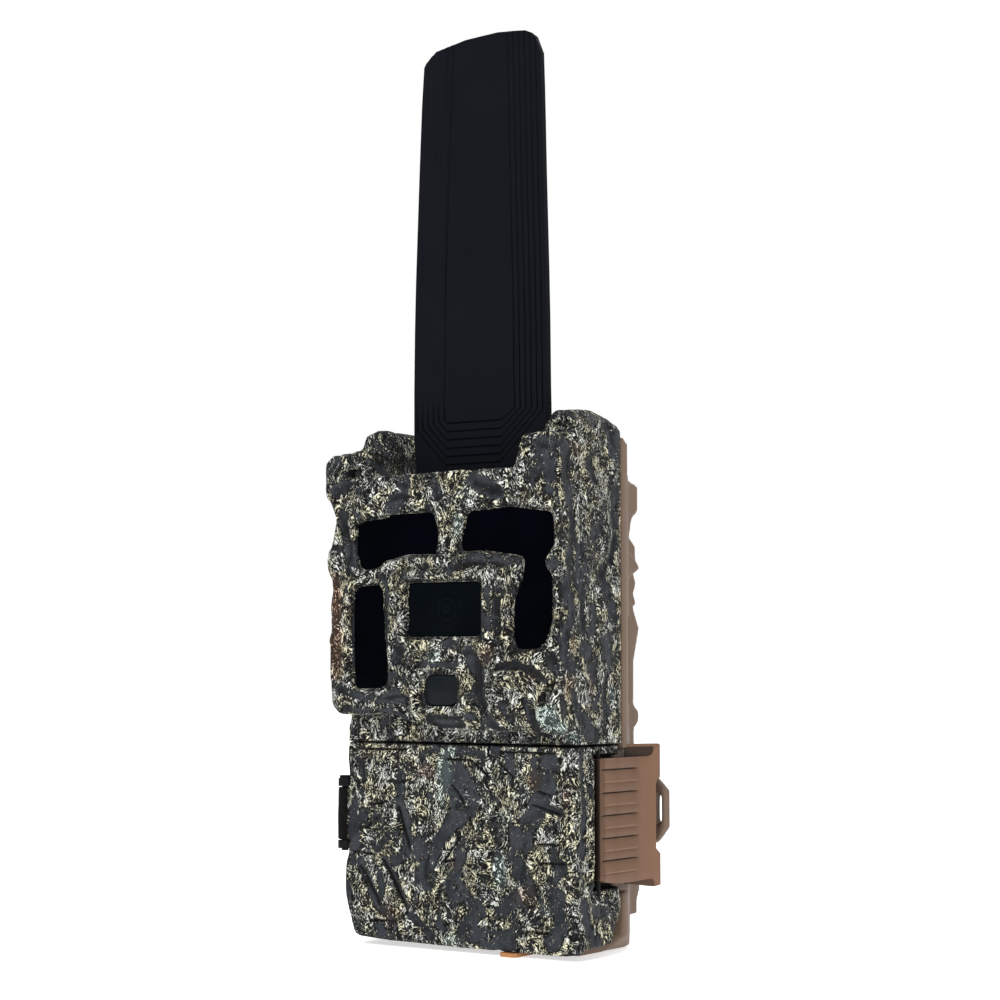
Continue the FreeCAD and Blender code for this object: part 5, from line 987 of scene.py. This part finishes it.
# =============================================================== latch lever
def lever():
    """Ribbed lever with a rolled wing: a plan outline lofted in fine steps of height."""
    face = [(42.15, -18.75), (42.55, -18.55), (42.85, -17.9), (43.0, -17.2), (43.05, -16.4), (43.1, -14.0), (43.12, -10.3), (43.26, -10.15),
            (43.3, -7.0), (43.32, -3.0), (43.34, -0.6), (43.36, 0.8), (43.4, 1.9), (43.55, 3.2), (43.85, 4.6), (44.3, 6.0), (44.9, 7.3),
            (45.55, 8.3), (46.2, 9.1)]
    back = [(46.3, 9.6), (45.9, 10.2), (45.3, 10.0), (44.5, 8.8), (43.6, 7.4), (42.6, 5.6), (41.4, 3.6), (40.9, 2.2), (40.2, -2.0), (39.6, -6.0),
            (38.9, -12.0), (38.5, -15.6), (38.5, -17.2), (39.0, -18.2), (39.9, -18.75), (41.0, -18.8)]
    plan = face + back
    darks = [28.1, 34.65, 41.3, 47.9, 54.7]
    steps = []
    for d in darks:
        steps += [d - 4.4, d - 3.95, d - 3.70, d - 3.50, d - 3.38, d - 1.7, d - 0.30, d - 0.19, d + 0.10, d + 0.20]
    steps += [57.2]

    def zlow(y):
        return float(np.interp(y, [-19, -16, -11, -4, 1, 5, 7.6, 8.4, 11], [22.6, 21.7, 21.1, 20.9, 20.9, 21.1, 21.3, 19.4, 19.2]))

    def zhigh(y):
        return float(np.interp(y, [-19, 6.6, 7.6, 8.5, 11], [57.9, 57.95, 58.6, 61.3, 61.5]))

    def rec(z):
        for d in darks:
            if d - 0.20 <= z <= d + 0.12:
                return 1.0
            if d - 3.42 <= z < d - 0.20:
                return 0.62 - 0.70 * (d - z) / 3.4
            if d - 3.75 <= z < d - 3.42:
                return -0.08
            if d - 4.1 <= z < d - 3.75:
                return 0.22
        return 0.0
    verts, faces, rows, painted_light_marks = [], [], [], []
    levels = ["low"] + steps + ["high"]
    for z in levels:
        row = []
        for i, (x, y) in enumerate(plan):
            zz = zlow(y) if z == "low" else zhigh(y) if z == "high" else z
            if z == steps[0]:
                zz = max(z, zlow(y) + 0.3)
            if z == 57.2:
                zz = 57.2
            fade = float(step(-18.4, -17.0, np.array(y)) * step(2.0, -0.6, np.array(y))) if i < len(face) else 0.0
            r = rec(zz) if z not in ("low", "high") else 0.0
            inset = 0.22 if z in ("low", "high") and i < 17 else 0.0
            verts.append((x - r * fade - inset, y, zz))
            # painted shadow line under each rib's overhang
            g = 0.85 * fade if r == 1.0 else 0.0
            # painted shade: the lever's back and its nose are fully darkened
            if i >= len(face) + 4 or i == 0:
                g = 1.0
            # painted highlight: a light edge below each rib's recess, a fainter lift on the recess band, and the
            # right part of the face lighter
            lift = 0.0
            if i < len(face) and z not in ("low", "high"):
                if any(d - 3.72 <= zz <= d - 3.48 for d in darks):
                    lift = 0.42 * fade
                elif any(d - 3.4 <= zz <= d - 0.25 for d in darks):
                    lift = 0.10 * fade
            if i >= 10 and i < len(face):
                lift = max(lift, 0.22 * float(step(0.0, 4.0, np.array(y))))
            # painted shade at the nose in the recess, with no highlight
            if i < 4:
                g, lift = max(g, 0.30), 0.0
            painted_light_marks.append((g, lift))
            row.append(len(verts) - 1)
        rows.append(row)
    k = len(plan)
    for a, b in zip(rows, rows[1:]):
        for i in range(k):
            faces.append((a[i], a[(i + 1) % k], b[(i + 1) % k], b[i]))
    faces.append(tuple(rows[0][::-1]))
    faces.append(tuple(rows[-1]))

    def prism(outline, z0, z1, g):
        """A short wall; z0 and z1 may be one height or one for each corner; g is its painted shade."""
        n0 = len(verts)
        k = len(outline)
        low = z0 if isinstance(z0, list) else [z0] * k
        for (x, y), z in zip(outline, low):
            verts.append((x, y, z))
            painted_light_marks.append((g, 0.0))
        for x, y in outline:
            verts.append((x, y, z1))
            painted_light_marks.append((g, 0.0))
        for i in range(k):
            j = (i + 1) % k
            faces.append((n0 + i, n0 + j, n0 + k + j, n0 + k + i))
        faces.append(tuple(range(n0, n0 + k))[::-1])
        faces.append(tuple(range(n0 + k, n0 + 2 * k)))
    body_n, body_f = len(verts), len(faces)
    web = [(40.6, -1.4), (41.5, 0.4), (42.6, 3.2), (43.7, 5.8), (44.9, 7.9), (45.9, 9.0), (45.6, 9.6), (44.2, 8.4), (42.9, 6.3), (41.8, 3.9), (40.7, 1.0), (40.0, -0.9)]
    # painted shade on the web in the hollow above the body's top
    prism(web, 57.0, 60.9, 0.88)
    prism([(x + 0.06, y - 0.10) for x, y in web[:6]] + web[6:], 60.9, 61.75, 0.0)
    prism([(43.3, 7.0), (44.6, 7.6), (46.1, 9.0), (46.2, 9.4), (45.6, 9.7), (44.2, 8.5)], 57.2, 61.7, 0.0)
    low = [(40.9, -2.0), (42.0, 0.6), (43.0, 3.4), (44.0, 6.0), (45.0, 7.9), (45.9, 9.0), (45.6, 9.6), (44.2, 8.4), (42.9, 6.3), (41.8, 3.9), (40.8, 1.0), (40.2, -1.6)]
    zl = [20.1, 19.9, 19.5, 19.1, 18.9, 19.2]
    # painted shade on the hollow under the lever
    prism(low, zl + zl[::-1], 25.0, 0.60)
    prism([(43.7, 7.2), (44.8, 7.7), (46.1, 9.0), (46.2, 9.4), (45.6, 9.7), (44.2, 8.6)], [19.0, 18.9, 19.3, 19.5, 19.3, 19.0], 24.0, 0.0)
    def solid(name, vs, fs, marks):
        me = bpy.data.meshes.new(name)
        me.from_pydata([(x * MM, y * MM, z * MM) for x, y, z in vs], [], [list(f) for f in fs])
        me.validate()
        marks = np.array(marks)
        # painted light attribute: red is painted shade, green is painted highlight
        paint(me, "painted_light", np.stack([marks[:, 0], marks[:, 1], marks[:, 0] * 0, np.ones(len(marks))], 1))
        bm = bmesh.new()
        bm.from_mesh(me)
        bmesh.ops.recalc_face_normals(bm, faces=bm.faces)
        bmesh.ops.triangulate(bm, faces=[f for f in bm.faces if len(f.verts) > 4])
        bm.to_mesh(me)
        bm.free()
        ob = new_object(name, me)
        me.materials.append(BROWN2)
        return ob
    body = solid("latch_lever_ribbed", verts[:body_n], faces[:body_f], painted_light_marks[:body_n])
    wings = solid("latch_wing_tmp", verts[body_n:], [tuple(i - body_n for i in f) for f in faces[body_f:]], painted_light_marks[body_n:])
    # cut back beside the padlock eye
    prof = [(8.35, 30.3), (8.35, 49.6), (9.3, 51.4), (20.0, 56.0), (20.0, 24.0), (9.3, 28.9)]
    kk = len(prof)
    cutter = mesh_from("eye_gap_tmp", [(x, y, z) for x in (40.0, 60.0) for y, z in prof],
                       [tuple(range(kk)), tuple(range(kk, 2 * kk))[::-1]] + [(i, (i + 1) % kk, kk + (i + 1) % kk, kk + i) for i in range(kk)],
                       smooth=False)
    bo = body.modifiers.new("gap", "BOOLEAN")
    bo.operation = "DIFFERENCE"
    bo.object = cutter
    bo.solver = "EXACT"
    bv = body.modifiers.new("edge", "BEVEL")
    bv.width = 0.00016
    bv.segments = 2
    bv.limit_method = "ANGLE"
    bv.angle_limit = math.radians(30)
    dg = bpy.context.evaluated_depsgraph_get()
    me = bpy.data.meshes.new_from_object(body.evaluated_get(dg))
    body.modifiers.clear()
    body.data = me
    bpy.data.objects.remove(cutter)
    bm = bmesh.new()
    bm.from_mesh(me)
    bm.from_mesh(wings.data)
    bm.to_mesh(me)
    bm.free()
    bpy.data.objects.remove(wings)
    for p in me.polygons:
        p.use_smooth = True
    me.set_sharp_from_angle(angle=math.radians(32))
    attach(body, "latch")
    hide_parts("latch_lever")


lever()


# =============================================================== motion sensor lens
def fresnel():
    cx, cz, w, h = -1.0, 77.9, 6.25, 4.55
    verts, faces, rows = [], [], []
    na = 72

    def edge(a, s):
        c, sn = math.cos(a), math.sin(a)
        p = 3.4
        r = (abs(c / (w * s)) ** p + abs(sn / (h * s)) ** p) ** (-1 / p)
        return cx + r * c, cz + r * sn

    radii = list(np.linspace(0.06, 0.985, 46))
    for s in radii:
        row = []
        for i in range(na):
            a = 2 * math.pi * i / na
            x, z = edge(a, s)
            rr = math.hypot(x - cx, z - cz)
            dome = -38.75 + 0.75 * (rr / 6.4) ** 2
            saw = 0.10 * ((rr / 0.95) % 1.0)
            verts.append((x, dome + saw * (0.0 if rr < 0.9 else 1.0), z))
            row.append(len(verts) - 1)
        rows.append(row)
    row = []
    for i in range(na):
        x, z = edge(2 * math.pi * i / na, 1.0)
        verts.append((x, -37.7, z))
        row.append(len(verts) - 1)
    rows.append(row)
    row = []
    for i in range(na):
        x, z = edge(2 * math.pi * i / na, 1.0)
        verts.append((x, -36.0, z))
        row.append(len(verts) - 1)
    rows.append(row)
    row = []
    for i in range(na):
        x, z = edge(2 * math.pi * i / na, 1.2)
        verts.append((x, -35.9, z))
        row.append(len(verts) - 1)
    rows.append(row)
    row = []
    for i in range(na):
        x, z = edge(2 * math.pi * i / na, 1.2)
        verts.append((x, -34.8, z))
        row.append(len(verts) - 1)
    rows.append(row)
    for a, b in zip(rows, rows[1:]):
        for i in range(na):
            faces.append((a[i], a[(i + 1) % na], b[(i + 1) % na], b[i]))
    faces.append(tuple(rows[0]))
    faces.append(tuple(rows[-1][::-1]))
    o = mesh_from("motion_fresnel", verts, faces, smooth=True, mat=PIRM)
    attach(o, "housing")
    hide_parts("pir_lens")


fresnel()


# =============================================================== brown rear shell and bracket
def softened(name, node_name, voxel, times, mat, body, noise_mm=0.0):
    o = remeshed(name, [node_name], voxel)
    co = coords(o.data)
    e = edges_of(o.data)
    if node_name == "rear_housing":
        x, y, z = co.T.copy()
        wall = (y > 11.8) & (y < 15.4) & (z > 36.7) & (z < 47.1) & (x > 39.9) & (x < 43.0)
        co[:, 0] += np.where(wall, 3.2 * step(42.8, 41.2, x), 0.0)
    co = taubin(co, e, 2)
    co = relax(co, e, times, 0.5)
    if noise_mm:
        set_coords(o.data, co)
        co = co + normals(o.data) * (noise_mm * fbm(co, 0.12, 9, 2))[:, None]
    finish_grid(o, co, mat)
    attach(o, body)
    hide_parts(node_name)
    return o


softened("rear_shell_brown", "rear_housing", 0.74, 2, BROWN, "housing")
softened("tree_bracket_brown", "tree_bracket", 0.45, 2, BROWN, "housing")


# =============================================================== stage, light and camera
def stage():
    n, R = 96, 4.0
    verts = [(0.0, 0.0, 0.0)]
    faces = []
    for ring, r in enumerate((0.25, 0.8, R)):
        for i in range(n):
            a = 2 * math.pi * i / n
            verts.append((r * math.cos(a) * 1000, r * math.sin(a) * 1000, 0.0))
    for i in range(n):
        faces.append((0, 1 + i, 1 + (i + 1) % n))
    for ring in range(2):
        b0, b1 = 1 + ring * n, 1 + (ring + 1) * n
        for i in range(n):
            faces.append((b0 + i, b1 + i, b1 + (i + 1) % n, b0 + (i + 1) % n))
    o = mesh_from("floor", verts, faces, smooth=False)
    m = Mat("floor_pale")
    g = m.noise(0.02, 2, 0.5)
    m.set(Base_Color=m.mix(m.remap(g, 0.3, 0.7), (0.90, 0.90, 0.90, 1), (0.93, 0.93, 0.93, 1)))
    m.p.inputs["Roughness"].default_value = 0.9
    m.p.inputs["Specular IOR Level"].default_value = 0.1
    m.p.inputs["Emission Color"].default_value = (1, 1, 1, 1)
    m.set(Emission_Strength=m.remap(m.length(), 0.25 * 1000, 1.1 * 1000, 0.60, 0.98))
    o.data.materials.append(m.m)
    o.location.z = -0.0002


stage()


def area(name, loc, target, size, power, colour=(1, 1, 1)):
    l = bpy.data.lights.new(name, "AREA")
    l.shape = "RECTANGLE"
    l.size, l.size_y = size
    l.energy = power
    l.color = colour
    o = bpy.data.objects.new(name, l)
    bpy.context.scene.collection.objects.link(o)
    o.location = loc
    o.rotation_euler = (Vector(target) - Vector(loc)).to_track_quat("-Z", "Y").to_euler()
    return o


area("key", (0.05, -1.25, 1.0), (0, 0, 0.12), (0.7, 0.6), 15.6)
area("fill", (1.45, -0.75, 0.45), (0, 0, 0.12), (0.8, 1.0), 5.5)
area("top", (0.1, 0.05, 1.5), (0, 0, 0.1), (1.0, 1.0), 9.0)
area("back", (0.3, 1.3, 0.8), (0, 0, 0.12), (1.0, 0.8), 6.0)

w = bpy.data.worlds.new("studio")
bpy.context.scene.world = w
w.use_nodes = True
wt = w.node_tree
bg = wt.nodes["Background"]
bg.inputs["Color"].default_value = (1, 1, 1, 1)
bg.inputs["Strength"].default_value = 0.24
seen = wt.nodes.new("ShaderNodeBackground")
seen.inputs["Color"].default_value = (1, 1, 1, 1)
seen.inputs["Strength"].default_value = 1.0
path = wt.nodes.new("ShaderNodeLightPath")
mixw = wt.nodes.new("ShaderNodeMixShader")
wt.links.new(path.outputs["Is Camera Ray"], mixw.inputs[0])
wt.links.new(bg.outputs[0], mixw.inputs[1])
wt.links.new(seen.outputs[0], mixw.inputs[2])
wt.links.new(mixw.outputs[0], wt.nodes["World Output"].inputs["Surface"])
bpy.context.scene.view_settings.view_transform = "Standard"
bpy.context.scene.view_settings.look = "None"

cam_data = bpy.data.cameras.new("camera")
cam_data.sensor_width = 36.0
cam_data.lens = 81.2
cam_data.clip_start = 0.01
cam = bpy.data.objects.new("camera", cam_data)
bpy.context.scene.collection.objects.link(cam)
cam.location = (0.3927, -0.5859, 0.0847)
cam.rotation_euler = (Vector((-0.0058, 0.0, 0.1373)) - cam.location).to_track_quat("-Z", "Y").to_euler()
bpy.context.scene.camera = cam
